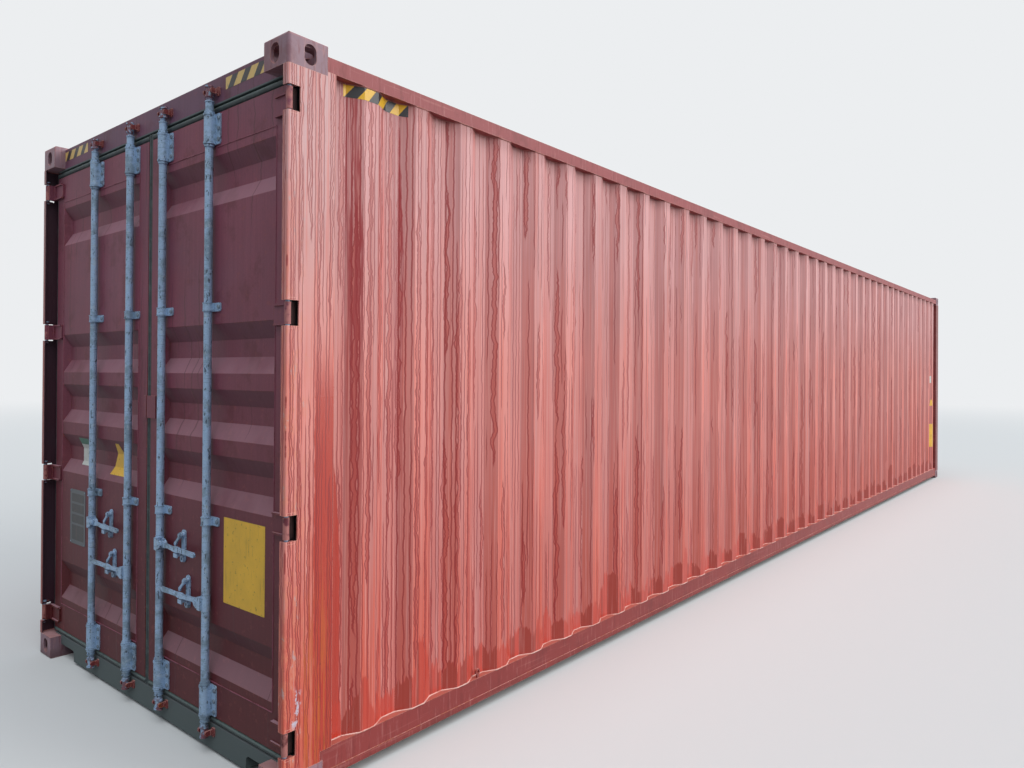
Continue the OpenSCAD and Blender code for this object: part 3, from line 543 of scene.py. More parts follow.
def side_finish(p, name, lines=1.0, outside=None, foot=0.26, near=False):
    """Chalked side paint: chalk in upright bands and fibres, painted shade on the fold slopes that face the
    door end and in the fold floors, rain runs with dark rims, soaked foot, painted shadow under the top rail
    and painted highlights on the fold edges.
    """
    f = Finish(name, p.side_top[:], 0.60)
    t = f.t
    if outside == "wall":
        f.across = f.x
    grain = f.grain()
    faded_film(f, p, p.side_top[:])
    f.spread(f.upright(9.0, 0.35, 2.0), 0.46, 0.60, p.side_grey[:], amount=0.45)
    low = t.ramp(f.z, 2.7, 1.0, 0.35, 1.0)
    thin_chalk = t.ramp(f.upright(58.0, 0.4, 3.0, 4.0, 0.65), 0.47, 0.60)
    f.layer(t.both(thin_chalk, low), p.side_coral[:], amount=0.62)
    f.spread(f.upright(26.0, 0.5, 5.0, 3.0, 0.6), 0.52, 0.62, p.side_coral[:], amount=0.35)
    slope = t.ramp(t.times(t.split(f.normal)[0], -1.0), 0.25, 0.40)
    floor_of_fold = t.ramp(t.absolute(f.y), CREST_Y - 0.030, CREST_Y - 0.035)
    if outside == "wall":
        # painted shade, partly rain wetness: darker red on the fold slopes that face the door end
        f.layer(slope, srgb(160, 84, 82), amount=0.42)
        # painted shade: greyer paint in the floors of the folds
        f.layer(floor_of_fold, p.side_grey[:], amount=0.35)
    f.spread(f.upright(150.0, 0.9, 7.0, 4.0, 0.7), 0.52, 0.62, p.side_pale[:], amount=0.38)
    f.spread(f.upright(95.0, 0.5, 13.0, 4.0, 0.65), 0.57, 0.64, p.side_rim[:], amount=0.34)
    f.shade(grain["Cloud"], 0.93, 1.06)
    gate = t.ramp(f.x, DOOR_END + 0.3, DOOR_END + 1.6, 0.40, 0.53) if near else 0.53
    rim = runs_layer(f, p, 15.0, 0.0085, 0.0034, gate, 1.0, 0.62 * lines, 0.95 * lines)
    thin_gate = t.ramp(f.x, DOOR_END + 0.3, DOOR_END + 2.4, 0.36, 0.52) if near else 0.50
    runs_layer(f, p, 38.0, 0.0008, 0.0030, thin_gate, 9.0, 0.0, 0.95 * lines)
    if near:
        post_column(f)
        for left, right in ((0.292, 0.366), (0.545, 0.604)):
            column = soaked_column(f, left, right, 2.95, 33.0)
            fibre = t.ramp(f.upright(80.0, 1.4, 35.0, 4.0, 0.7), 0.58, 0.48)
            f.layer(t.both(column, fibre, t.ramp(f.z, 0.6, 2.3)), srgb(156, 44, 48), 0.3, 0.90)
    soaked = group(t, "Wet foot", Point=f.point, Height=foot, Reach=0.40)
    f.layer(soaked["Mask"], p.foot_bright[:], 0.26, 0.78)
    # painted shade on the fold slopes that face the door end, plus soaked dark bands at random, both in the
    # foot colour
    dark_band = t.either(slope, t.ramp(f.upright(13.0, 0.6, 17.0), 0.54, 0.60))
    f.layer(t.both(soaked["Mask"], dark_band), p.foot_dark[:], 0.26, 0.62)
    pale_fibre = t.ramp(f.upright(120.0, 1.5, 19.0, 4.0, 0.7), 0.54, 0.64)
    f.layer(t.both(soaked["Mask"], pale_fibre), p.side_pale[:], 0.5, 0.25)
    # painted shadow under the top rail, with a brown stain: darker near the eave
    f.spread(f.z, 2.70, 2.80, srgb(120, 62, 60), amount=0.40)
    # painted highlight, partly worn paint: pale line along the fold edges
    f.layer(f.edges(0.005, 0.95), p.side_pale[:], 0.4, 0.45)
    dirt_layer(f, 0.30, srgb(104, 70, 62), 0.25)
    f.relief(grain["Speck"], 0.00010)
    f.relief(rim, 0.00015)
    if outside:
        out = outward(f, outside)
        clean = t.mix(t.ramp(f.noise(3.0, 4.0), 0.3, 0.7), p.inner[:], srgb(140, 78, 76))
        f.colour = t.mix(out, clean, f.colour)
        f.rough = t.ramp(out, 0.0, 1.0, 0.5, f.rough, "LINEAR")
    return f.close()


def post_finish(p, name):
    """Door end posts: flaking film in front, soaked red behind, pits, scuffs, and painted shade with grime on
    the inner faces and the left post's front lip.
    """
    f = Finish(name, p.side_top[:], 0.56)
    t = f.t
    grain = f.grain()
    s_along = f.along()
    faded_film(f, p, srgb(212, 172, 172))
    f.spread(f.upright(58.0, 0.8, 21.0, 4.0, 0.65), 0.46, 0.58, p.side_coral[:], amount=0.50)
    f.spread(f.upright(150.0, 1.4, 22.0, 4.0, 0.7), 0.50, 0.62, p.side_pale[:], amount=0.45)
    flake = t.noise(f.drawn(by_z=0.35), 30.0, 6.0, 0.72)
    front = t.ramp(s_along, 0.13, 0.04)
    f.layer(t.both(t.ramp(flake, 0.50, 0.54), t.ramp(f.z, 2.75, 1.6), front), srgb(224, 142, 112), 0.7, 0.42)
    f.layer(t.both(t.ramp(flake, 0.60, 0.63), front), srgb(190, 176, 178), 0.6, 0.6)
    f.shade(grain["Cloud"], 0.92, 1.07)
    post_column(f)
    rim = runs_layer(f, p, 22.0, 0.0050, 0.0032, 0.42, 5.0, 0.25, 0.95)
    runs_layer(f, p, 55.0, 0.0008, 0.0026, 0.44, 15.0, 0.0, 0.90)
    low = t.ramp(f.z, 1.1, 0.35)
    brown = t.ramp(f.upright(70.0, 2.2, 29.0, 5.0, 0.72), 0.48, 0.58)
    brown_band = t.both(t.ramp(s_along, 0.06, 0.10), t.ramp(s_along, 0.215, 0.19))
    f.layer(t.both(brown, low, brown_band), srgb(196, 96, 44), 0.8, 0.95)
    dark = t.ramp(f.upright(110.0, 3.0, 30.0, 5.0, 0.75), 0.58, 0.64)
    f.layer(t.both(dark, low, t.ramp(s_along, 0.08, 0.12)), srgb(132, 52, 36), 0.8, 0.7)
    pit = t.ramp(t.noise(f.drawn(by_z=0.45), 110.0, 3.0, 0.6), 0.66, 0.70)
    band = t.both(t.ramp(s_along, 0.13, 0.15), t.ramp(s_along, 0.20, 0.17), t.ramp(f.z, 0.75, 0.45))
    f.layer(t.both(pit, band), srgb(62, 32, 26), 0.9, 0.95)
    scuff = t.ramp(t.noise(f.drawn(by_z=0.5), 34.0, 5.0, 0.75), 0.54, 0.60)
    at_height = t.both(t.ramp(f.z, 0.27, 0.31), t.ramp(f.z, 0.45, 0.40))
    place = t.both(at_height, t.ramp(s_along, 0.085, 0.06), t.ramp(s_along, 0.03, 0.04))
    f.layer(t.both(scuff, place), srgb(206, 204, 220), 0.5, 0.85)
    f.layer(f.edges(0.004, 0.55), srgb(236, 178, 160), 0.6, 0.6)
    side_face = outward(f, "wall")
    nose = t.both(t.ramp(t.split(f.normal)[0], -0.2, -0.6), t.ramp(f.y, 0.0, -0.5))
    shown = t.either(side_face, nose)
    # painted shade with grime: near black on the inner faces and the left post's front lip, while the right
    # post's front lip keeps the lit film
    plain = t.mix(t.ramp(grain["Cloud"], 0.3, 0.7), srgb(62, 28, 42), srgb(56, 36, 48))
    f.colour = t.mix(shown, plain, f.colour)
    f.relief(grain["Speck"], 0.00012)
    f.relief(flake, 0.0003)
    f.relief(rim, 0.00012)
    return f.close()


def door_finish(p, name, tone, outside=None, rust=0.10, place=None):
    """Maroon paint, darker towards the bottom, with a painted sky reflection up high, dust with a painted sky
    reflection on what faces up, painted shade on what faces down, thin drips, dark grime near the ground and,
    on the hinges, a painted shadow in the slot.
    """
    f = Finish(name, tone, 0.52, specular=0.28)
    t = f.t
    f.across = f.y
    grain = f.grain()
    up = t.split(f.normal)[2]
    # darker towards the bottom, blending from door_wet up to the plain door paint
    f.colour = t.mix(t.ramp(f.z, 0.2, 2.2), p.door_wet[:], tone)
    # painted reflection of the sky: purple grey patches on the upper door
    faded = t.both(t.ramp(f.noise(1.6, 4.0, 0.6), 0.40, 0.62), t.ramp(f.z, 1.0, 2.2))
    f.layer(faded, srgb(120, 76, 94), amount=0.42)
    f.spread(f.noise(5.0, 5.0, 0.65), 0.52, 0.66, srgb(92, 34, 40), amount=0.45)
    f.spread(f.noise(26.0, 4.0, 0.7), 0.56, 0.68, srgb(150, 78, 76), amount=0.28)
    f.shade(grain["Cloud"], 0.86, 1.12)
    f.shade(grain["Speck"], 0.92, 1.06)
    f.shade(t.ramp(f.upright(70.0, 1.2, 41.0, 4.0, 0.65), 0.3, 0.7), 0.95, 1.04)
    # dust with a painted sky reflection: pale pink grey on faces that look up
    f.layer(t.both(t.ramp(up, 0.2, 0.7), t.ramp(grain["Cloud"], 0.2, 0.55)), srgb(190, 152, 164), 0.7, 0.66)
    # painted shade: dark on faces that look down
    f.spread(up, -0.2, -0.7, srgb(50, 26, 40), amount=0.62)
    runs = group(
        t, "Rain runs", Across=f.across, Rise=f.z, Per_metre=16.0, Half_width=0.004,
        Line=0.0018, Gate=0.56, Seed=4.0,
    )
    f.layer(runs["Run"], p.door_wet[:], 0.35, 0.5)
    f.layer(runs["Rim"], srgb(66, 26, 34), 0.45, 0.45)
    rust_layer(f, p, 7.0, 0.5, rust, strength=0.7)
    wear_layer(f, p, 0.004, 0.36, 0.7)
    dirt_layer(f, 0.32, srgb(72, 44, 42), 0.45)
    f.relief(grain["Speck"], 0.0001)
    f.relief(runs["Rim"], 0.0001)
    if place == "hinge":
        far_out = t.ramp(t.absolute(f.y), 1.184, 1.192)
        depth = f.along()
        patchy = t.ramp(f.noise(30.0, 4.0), 0.35, 0.55)
        f.layer(t.both(far_out, patchy), srgb(192, 128, 122), 0.6, 0.75)
        # painted shadow: near black in the hinge slot, far out and deep behind the door face
        f.layer(t.both(far_out, t.ramp(depth, 0.029, 0.031)), srgb(24, 13, 13), 0.8, 0.95)
    if place == "header":
        f.spread(f.z, 2.777, 2.774, srgb(92, 108, 108), 0.7, 0.85)
    if outside:
        out = outward(f, outside)
        f.colour = t.mix(out, p.inner[:], f.colour)
    return f.close()


def rail_finish(p, name, tone, chalk=0.0, rust=0.15, dirt=0.2, lit_ledge=(186, 136, 130)):
    """Rail paint with scrapes along its length, fine upright drips, painted light on what faces up, pale
    edges, rust and dirt.
    """
    f = Finish(name, tone, 0.5, specular=0.35)
    t = f.t
    grain = f.grain()
    scrape = t.noise(f.drawn(2.0, 2.0, 60.0), 1.0, 4.0, 0.65)
    f.shade(grain["Cloud"], 0.86, 1.10)
    f.spread(scrape, 0.58, 0.68, srgb(204, 140, 134), 0.6, 0.18 + chalk)
    f.spread(f.upright(60.0, 6.0, 43.0, 4.0, 0.7), 0.54, 0.66, srgb(206, 150, 146), amount=0.22 + chalk)
    f.spread(f.upright(34.0, 4.0, 45.0, 4.0, 0.7), 0.54, 0.64, srgb(118, 46, 46), amount=0.45)
    f.spread(f.noise(5.0, 5.0, 0.65), 0.52, 0.64, srgb(112, 48, 48), 0.5, 0.35)
    up = t.split(f.normal)[2]
    # painted light from above: lighter colour on faces that look up
    f.spread(up, 0.3, 0.8, srgb(*lit_ledge), 0.7, 0.55)
    rust_layer(f, p, 8.0, 0.6, rust, strength=0.8)
    f.layer(f.edges(0.004, 0.7), srgb(222, 176, 168), 0.6, 0.5)
    wear_layer(f, p, 0.005, 0.34, 0.7)
    dirt_layer(f, dirt, srgb(72, 48, 44), 0.5)
    f.relief(grain["Speck"], 0.00015)
    f.relief(scrape, 0.0001)
    return f.close()


def gear_finish(p, name):
    """Grey blue gear with dull patches, dark spots, worn edges, rust and maroon overspray at its ends."""
    # painted reflection of the sky: the gear colour is bluer than the grey zinc
    f = Finish(name, p.gear[:], 0.5, metallic=0.15)
    t = f.t
    grain = f.grain()
    spangle = t.put("ShaderNodeTexVoronoi", {"Vector": f.point, "Scale": 140.0}).outputs["Distance"]
    f.shade(spangle, 0.93, 1.05)
    f.shade(grain["Cloud"], 0.86, 1.10)
    f.spread(f.noise(9.0, 5.0, 0.7), 0.48, 0.62, srgb(104, 122, 132), 0.6, 0.60)
    ring = t.noise(f.drawn(20.0, 20.0, 260.0), 1.0, 2.0)
    f.spread(ring, 0.60, 0.72, srgb(84, 98, 112), 0.5, 0.5)
    spot = t.noise(f.drawn(by_z=0.4), 75.0, 3.0, 0.6)
    f.spread(spot, 0.60, 0.66, srgb(48, 52, 62), 0.7, 0.8)
    f.spread(f.noise(38.0, 4.0, 0.7), 0.56, 0.64, srgb(184, 200, 212), 0.5, 0.45)
    rust_layer(f, p, 22.0, 0.6, 0.16, strength=0.8)
    f.layer(f.edges(0.003, 0.75), srgb(58, 50, 54), 0.6, 0.65)
    ends = t.either(t.ramp(f.z, 2.775, 2.800), t.ramp(f.z, 0.125, 0.100))
    f.layer(t.both(ends, t.ramp(f.noise(44.0, 3.0, 0.6), 0.44, 0.50)), srgb(120, 54, 58), 0.55, 0.85)
    f.relief(spangle, 0.00006)
    f.relief(ring, 0.0001)
    f.relief(spot, 0.0003)
    return f.close()


def rubber_finish(p, name):
    """Weathered rubber with chalky patches and dark specks, paler where it faces up as a painted reflection
    of the sky.
    """
    f = Finish(name, p.rubber[:], 0.6)
    t = f.t
    up = t.split(f.normal)[2]
    # painted reflection of the sky on faces that look up
    f.spread(up, 0.1, 0.6, srgb(104, 120, 116), 0.7, 0.7)
    chalk = t.noise(t.vector(t.times(f.y, 5.0), f.x, t.times(f.z, 5.0)), 3.0, 4.0, 0.65)
    f.spread(chalk, 0.45, 0.7, srgb(98, 110, 108), 0.75, 0.5)
    f.spread(f.noise(40.0, 3.0), 0.58, 0.7, srgb(28, 30, 30), amount=0.5)
    f.relief(chalk, 0.0004)
    return f.close()


def floor_finish(p, name):
    """Oiled plywood boards with seams, face grain, scuffs and tyre marks."""
    f = Finish(name, p.wood[:], 0.55)
    t = f.t
    turned = f.drawn(0.7, 9.0)
    grain = t.noise(turned, 6.0, 6.0, 0.6)
    values = {"Vector": turned, "Scale": 1.3, "Distortion": 7.0, "Detail": 3.0}
    ring = t.put("ShaderNodeTexWave", values).outputs["Fac"]
    f.shade(grain, 0.72, 1.16)
    f.spread(ring, 0.3, 0.9, srgb(98, 60, 36), amount=0.45)
    bay = t.math("FLOOR", t.math("DIVIDE", f.x, 2.4))
    row = t.math("FLOOR", t.math("DIVIDE", f.y, 1.165))
    tone = t.put("ShaderNodeTexWhiteNoise", {"Vector": t.vector(bay, row, 0.0)}).outputs["Value"]
    f.shade(tone, 0.86, 1.10)
    worn = t.noise(f.drawn(0.6), 3.0, 5.0, 0.7)
    f.spread(worn, 0.5, 0.68, srgb(92, 80, 70), 0.7, 0.55)
    f.spread(t.noise(turned, 14.0, 3.0), 0.62, 0.72, srgb(52, 36, 26), amount=0.4)
    f.relief(grain, 0.0006)
    return f.close()


def film_finish(name, tone, dirty, sky_sheen=None):
    """Adhesive film or painted plate that has faded, chipped and collected dirt; the last colour, when given,
    is a painted reflection of the sky laid on the film up on the header.
    """
    f = Finish(name, tone, 0.42)
    f.shade(f.noise(9.0, 4.0, 0.6), 0.86, 1.08)
    f.spread(f.noise(45.0, 5.0, 0.7), 0.60, 0.68, dirty, 0.7, 0.6)
    streak = f.upright(70.0, 6.0, 0.0, 3.0, 0.6)
    f.spread(streak, 0.58, 0.72, dirty, 0.6, 0.35)
    f.layer(f.edges(0.002, 0.6), dirty, 0.7, 0.6)
    # painted reflection of the sky: paler film above the header's lower edge
    if sky_sheen:
        f.spread(f.z, 2.80, 2.81, sky_sheen, amount=0.45)
    f.relief(streak, 0.00005)
    return f.close()


def steel_finish(p, name, tone):
    """Zinc plated head with rust starting around it."""
    f = Finish(name, tone, 0.42, metallic=0.5)
    f.shade(f.noise(60.0, 3.0), 0.75, 1.1)
    rust_layer(f, p, 60.0, 0.8, 0.35, strength=0.9)
    f.relief(f.noise(300.0, 2.0), 0.0001)
    return f.close()


def bead_finish(name, tone, dirty, strength):
    """Weld or sealant under paint, with dirt caught along it."""
    f = Finish(name, tone, 0.6)
    f.shade(f.noise(24.0, 4.0), 0.8, 1.12)
    f.spread(f.noise(11.0, 5.0, 0.7), 0.50, 0.64, dirty, 0.8, strength)
    f.relief(f.noise(200.0, 2.0), 0.0002)
    return f.close()


def make_finishes():
    """All materials by name."""
    p = bpy.context.scene.container_paint
    s = bpy.context.scene.container_stripes
    grime = srgb(74, 58, 54)
    return {
        "side": side_finish(p, "side_wall_paint", outside="wall", near=True),
        "post": post_finish(p, "post_paint"),
        "front_post": rail_finish(p, "front_post_paint", srgb(124, 62, 62), chalk=0.1, lit_ledge=(150, 88, 84)),
        "front": side_finish(p, "front_wall_paint", lines=0.7, outside="front"),
        "roof": side_finish(p, "roof_paint", lines=0.25, outside="roof"),
        "keeper": rail_finish(p, "keeper_paint", srgb(124, 54, 56), rust=0.35),
        "door": door_finish(p, "door_paint", p.door[:]),
        "door_panel": door_finish(p, "door_panel_paint", p.door[:], outside="door"),
        "rail_high": rail_finish(p, "top_rail_paint", p.rail_high[:], chalk=0.1),
        "rail": rail_finish(p, "bottom_rail_paint", p.rail[:], lit_ledge=(206, 118, 100)),
        "casting": rail_finish(p, "casting_paint", srgb(150, 120, 131), chalk=0.1, rust=0.36),
        "header": door_finish(p, "header_paint", srgb(106, 72, 94), place="header"),
        "hinge": door_finish(p, "hinge_paint", p.door[:], place="hinge"),
        "under": rail_finish(p, "underside_paint", p.under[:], rust=0.4, dirt=1.4),
        "gear": gear_finish(p, "gear_paint_worn"),
        "rubber": rubber_finish(p, "gasket_rubber"),
        "floor": floor_finish(p, "floor_plywood"),
        # the last colour is a painted reflection of the sky on the header stripes
        "yellow": film_finish("yellow_film", s.yellow[:], grime, srgb(224, 204, 160)),
        "black": film_finish("black_film", s.black[:], srgb(120, 96, 90)),
        "white": film_finish("white_film", srgb(214, 216, 210), grime),
        "green": film_finish("green_film", srgb(44, 108, 88), grime),
        "plate": film_finish("plate_steel", srgb(74, 80, 86), srgb(112, 118, 122)),
        "bolt": steel_finish(p, "bolt_zinc", srgb(120, 134, 148)),
        "screw": steel_finish(p, "screw_steel", srgb(120, 112, 104)),
        "weld_door": bead_finish("door_weld", p.door[:], p.door_wet[:], 0.6),
        "weld_side": bead_finish("side_weld", srgb(172, 104, 98), srgb(96, 50, 44), 0.7),
        "sealant": bead_finish("foot_sealant", srgb(222, 178, 168), srgb(190, 100, 84), 0.75),
    }


FINISH_OF = {
    "top_corner_castings": "casting", "bottom_corner_castings": "casting",
    "rear_corner_posts": "post", "front_corner_posts": "front_post",
    "door_header": "header", "door_sill": "header",
    "front_top_rail": "rail_high", "front_bottom_rail": "rail",
    "top_side_rails": "rail_high", "bottom_side_rails": "rail",
    "left_side_wall": "side", "right_side_wall": "side", "front_wall": "front", "roof_panel": "roof",
    "plywood_floor": "floor", "cross_members": "under", "gooseneck_tunnel": "under",
    "cam_keepers": "keeper", "hinge_lugs": "post", "hinge_pins": "gear", "door_holdback_eyes": "rail",
}
FINISH_OF_KIND = {
    "door_frame": "door", "door_panel": "door_panel", "door_gasket": "rubber", "door_hinges": "hinge",
    "rod_brackets": "gear", "handle_retainers": "gear", "lock_rod": "gear", "handle": "gear", "catch": "gear",
}


def finish_of(node):
    """Name of a CAD node's finish."""
    if node in FINISH_OF:
        return FINISH_OF[node]
    kinds = [kind for kind in FINISH_OF_KIND if node.endswith(kind)]
    if not kinds:
        raise RuntimeError(f"no finish is given for {node}")
    return FINISH_OF_KIND[max(kinds, key=len)]


def material(name):
    """A finish made by the paint operator."""
    found = bpy.data.materials.get(FINISH_NAMES.get(name, ""))
    if found is None:
        raise RuntimeError(f"finish {name} isn't made yet: run the paint operator first")
    return found


FINISH_NAMES = {}


# Meshes


def new_object(name, mesh, finish, body):
    """Links a mesh as a piece that rides on a body."""
    obj = linked(name, mesh)
    mesh.materials.clear()
    mesh.materials.append(material(finish))
    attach(obj, body)
    return obj


def clip(polygon, a, b, c):
    """Part of a convex polygon where a*u + b*v is at least c."""
    kept = []
    for i, (u, v) in enumerate(polygon):
        w, q = polygon[i - 1]
        here, before = a * u + b * v - c, a * w + b * q - c
        if (here >= 0) != (before >= 0):
            part = before / (before - here)
            kept.append((w + (u - w) * part, q + (v - q) * part))
        if here >= 0:
            kept.append((u, v))
    return kept


def cut_at(polygons, lines, axis=0):
    """Convex polygons cut along constant u or v lines."""
    a, b = (1, 0) if axis == 0 else (0, 1)
    for line in lines:
        halves = [(clip(p, a, b, line), clip(p, -a, -b, -line)) for p in polygons]
        polygons = [p for pair in halves for p in pair if area(p) > 1e-7]
    return polygons


def area(polygon):
    """Area of a flat polygon."""
    return abs(sum(u * polygon[i - 1][1] - v * polygon[i - 1][0] for i, (u, v) in enumerate(polygon))) / 2


def film_mesh(name, polygons, place, thick):
    """Closed thin film over flat polygons; place(u, v, lift) puts a point on the surface."""
    bm = bmesh.new()
    for polygon in polygons:
        bm.faces.new([bm.verts.new(place(u, v, 0.00005)) for u, v in polygon])
    bmesh.ops.remove_doubles(bm, verts=bm.verts, dist=0.00002)
    bmesh.ops.dissolve_degenerate(bm, edges=bm.edges, dist=0.00002)
    under = list(bm.faces)
    lift = Vector(place(0, 0, thick)) - Vector(place(0, 0, 0))
    result = bmesh.ops.extrude_face_region(bm, geom=under, use_keep_orig=True)
    bmesh.ops.translate(bm, vec=lift, verts=[g for g in result["geom"] if isinstance(g, bmesh.types.BMVert)])
    bmesh.ops.recalc_face_normals(bm, faces=bm.faces)
    mesh = bpy.data.meshes.new(name)
    bm.to_mesh(mesh)
    bm.free()
    return mesh


def on_door(y, z, lift):
    """Point on the door end's face plane."""
    return (DOOR_FACE - lift, y, z)


def on_recess(y, z, lift):
    """Point on a leaf's face, also where it is pressed in."""
    depth = 0.0
    for centre in RECESS_Z:
        inside = max(0.0, RECESS_HALF - abs(z - centre))
        depth = max(depth, min(RECESS_DEPTH, inside * RECESS_DEPTH / RECESS_SLOPE))
    return (DOOR_FACE + depth - lift, y, z)


def wall_profile():
    """Fold points of a side wall as distance from the door end and outer half width."""
    first, crest, slope, deep = 0.364, 0.073, 0.068, 0.036
    span = CAD_BOX[1][0] - CAD_BOX[0][0]
    count = math.floor((span - 2 * first - crest) / 0.278) + 1
    step = (span - 2 * first - crest) / (count - 1)
    points = [(0.218, CREST_Y - deep)]
    for k in range(count):
        s = first + k * step
        points += [(s - slope, CREST_Y - deep), (s, CREST_Y)]
        points += [(s + crest, CREST_Y), (s + crest + slope, CREST_Y - deep)]
    return points + [(span - 0.165, CREST_Y - deep)]


WALL = wall_profile()


def wall_half_width(s):
    """Outer half width of a side wall at a distance from the door end."""
    for (s0, w0), (s1, w1) in zip(WALL, WALL[1:]):
        if s0 <= s <= s1:
            return w0 + (w1 - w0) * (s - s0) / (s1 - s0)
    return WALL[0][1]


def on_side(sign):
    """Placing function for a film on one side wall."""
    return lambda s, z, lift: (DOOR_END + s, sign * (wall_half_width(s) + lift), z)


def slanted(u0, u1, v0, v1, start, pitch, part, slant):
    """Slanted stripes inside a rectangle: the polygons of the first colour and of the second."""
    first, second = [], []
    k = math.floor((u0 - start - abs(slant)) / pitch) - 1
    while start + k * pitch < u1 + abs(slant):
        a = start + k * pitch
        for low, high, made in ((a, a + pitch * part, first), (a + pitch * part, a + pitch, second)):
            band = [(low, v0), (high, v0), (high + slant, v1), (low + slant, v1)]
            band = clip(clip(band, 1, 0, u0), -1, 0, -u1)
            if len(band) > 2 and area(band) > 1e-6:
                made.append(band)
        k += 1
    return first, second


def join_meshes(name, meshes):
    """One mesh of several."""
    bm = bmesh.new()
    for mesh in meshes:
        bm.from_mesh(mesh)
        bpy.data.meshes.remove(mesh)
    joined = bpy.data.meshes.new(name)
    bm.to_mesh(joined)
    bm.free()
    return joined


# Geometry node trees


def geometry_tree(name, inputs, build):
    """Geometry node tree with named inputs."""
    tree = bpy.data.node_groups.new(name, "GeometryNodeTree")
    tree.interface.new_socket("Geometry", in_out="INPUT", socket_type="NodeSocketGeometry")
    for label, kind, default in inputs:
        socket = tree.interface.new_socket(label, in_out="INPUT", socket_type=kind)
        if default is not None:
            socket.default_value = default
    tree.interface.new_socket("Geometry", in_out="OUTPUT", socket_type="NodeSocketGeometry")
    t = Tree(tree)
    source = tree.nodes.new("NodeGroupInput")
    sink = tree.nodes.new("NodeGroupOutput")
    made = t.put("GeometryNodeRealizeInstances", {"Geometry": build(t, source.outputs)}).outputs[0]
    painted = t.put("GeometryNodeSetMaterial", {"Geometry": made, "Material": source.outputs["Material"]})
    t.fill(sink.inputs[0], painted.outputs[0])
    return tree


def head_tree(t, given):
    """A bolt or screw head on every point, turned to the point's facing vector."""
    values = {"Vertices": given["Corners"], "Side Segments": 5}
    values.update({"Radius": given["Radius"], "Depth": given["Height"]})
    block = t.put("GeometryNodeMeshCylinder", values).outputs["Mesh"]
    z = t.split(t.put("GeometryNodeInputPosition").outputs[0])[2]
    up = t.math("ADD", t.math("DIVIDE", z, given["Height"]), 0.5)
    shrink = t.less(1.0, t.times(t.math("POWER", up, given["Crown"]), given["Rounding"]))
    position = t.put("GeometryNodeInputPosition").outputs[0]
    taper = t.vector(shrink, shrink, 1.0)
    scaled = t.put("ShaderNodeVectorMath", {0: position, 1: taper}, operation="MULTIPLY")
    raised = t.put(
        "ShaderNodeVectorMath",
        {0: scaled.outputs[0], 1: t.vector(0.0, 0.0, t.times(given["Height"], 0.46))},
        operation="ADD",
    )
    head = t.put("GeometryNodeSetPosition", {"Geometry": block, "Position": raised.outputs[0]}).outputs[0]
    facing = t.put("GeometryNodeInputNamedAttribute", {"Name": "facing"}, data_type="FLOAT_VECTOR").outputs[0]
    turned = t.put("FunctionNodeAlignRotationToVector", {"Vector": facing}, axis="Z").outputs[0]
    index = t.put("GeometryNodeInputIndex").outputs[0]
    spin = t.put(
        "FunctionNodeRandomValue", {2: 0.0, 3: 6.283, "ID": index, "Seed": given["Seed"]}, data_type="FLOAT"
    ).outputs[1]
    about = t.put("FunctionNodeAxisAngleToRotation", {"Axis": (0, 0, 1), "Angle": spin}).outputs[0]
    final = t.put("FunctionNodeRotateRotation", {0: turned, 1: about}, rotation_space="LOCAL").outputs[0]
    return t.put(
        "GeometryNodeInstanceOnPoints", {"Points": given["Geometry"], "Instance": head, "Rotation": final}
    ).outputs[0]


def bead_tree(t, given):
    """A bead of weld or sealant along every edge path, with a changing thickness."""
    curve = t.put("GeometryNodeMeshToCurve", {"Mesh": given["Geometry"]}).outputs[0]
    values = {"Curve": curve, "Length": given["Step"]}
    even = t.put("GeometryNodeResampleCurve", values, mode="LENGTH").outputs[0]
    position = t.put("GeometryNodeInputPosition").outputs[0]
    wave = t.put("ShaderNodeTexNoise", {"Vector": position, "Scale": 45.0, "Detail": 2.0}).outputs["Fac"]
    swell = t.times_plus(t.less(wave, 0.5), t.times(given["Ripple"], 4.0), 1.0)
    radius = t.times(given["Radius"], swell)
    thick = t.put("GeometryNodeSetCurveRadius", {"Curve": even, "Radius": radius}).outputs[0]
    ring = t.put("GeometryNodeCurvePrimitiveCircle", {"Resolution": 6, "Radius": 1.0}).outputs[0]
    node = t.put("GeometryNodeCurveToMesh", {"Curve": thick, "Profile Curve": ring, "Fill Caps": True})
    if "Scale" in node.inputs:
        scale = t.put("GeometryNodeInputRadius").outputs[0]
        t.fill(node.inputs["Scale"], scale)
    return node.outputs[0]


MATERIAL_INPUT = ("Material", "NodeSocketMaterial", None)
HEAD_INPUTS = [
    ("Corners", "NodeSocketInt", 6), ("Radius", FLOAT, 0.0095), ("Height", FLOAT, 0.0055),
    ("Crown", FLOAT, 6.0), ("Rounding", FLOAT, 0.2), ("Seed", "NodeSocketInt", SEED), MATERIAL_INPUT,
]
BEAD_INPUTS = [("Radius", FLOAT, 0.0035), ("Step", FLOAT, 0.012), ("Ripple", FLOAT, 0.35), MATERIAL_INPUT]
TREES = {"Fixing heads": (HEAD_INPUTS, head_tree), "Beads": (BEAD_INPUTS, bead_tree)}


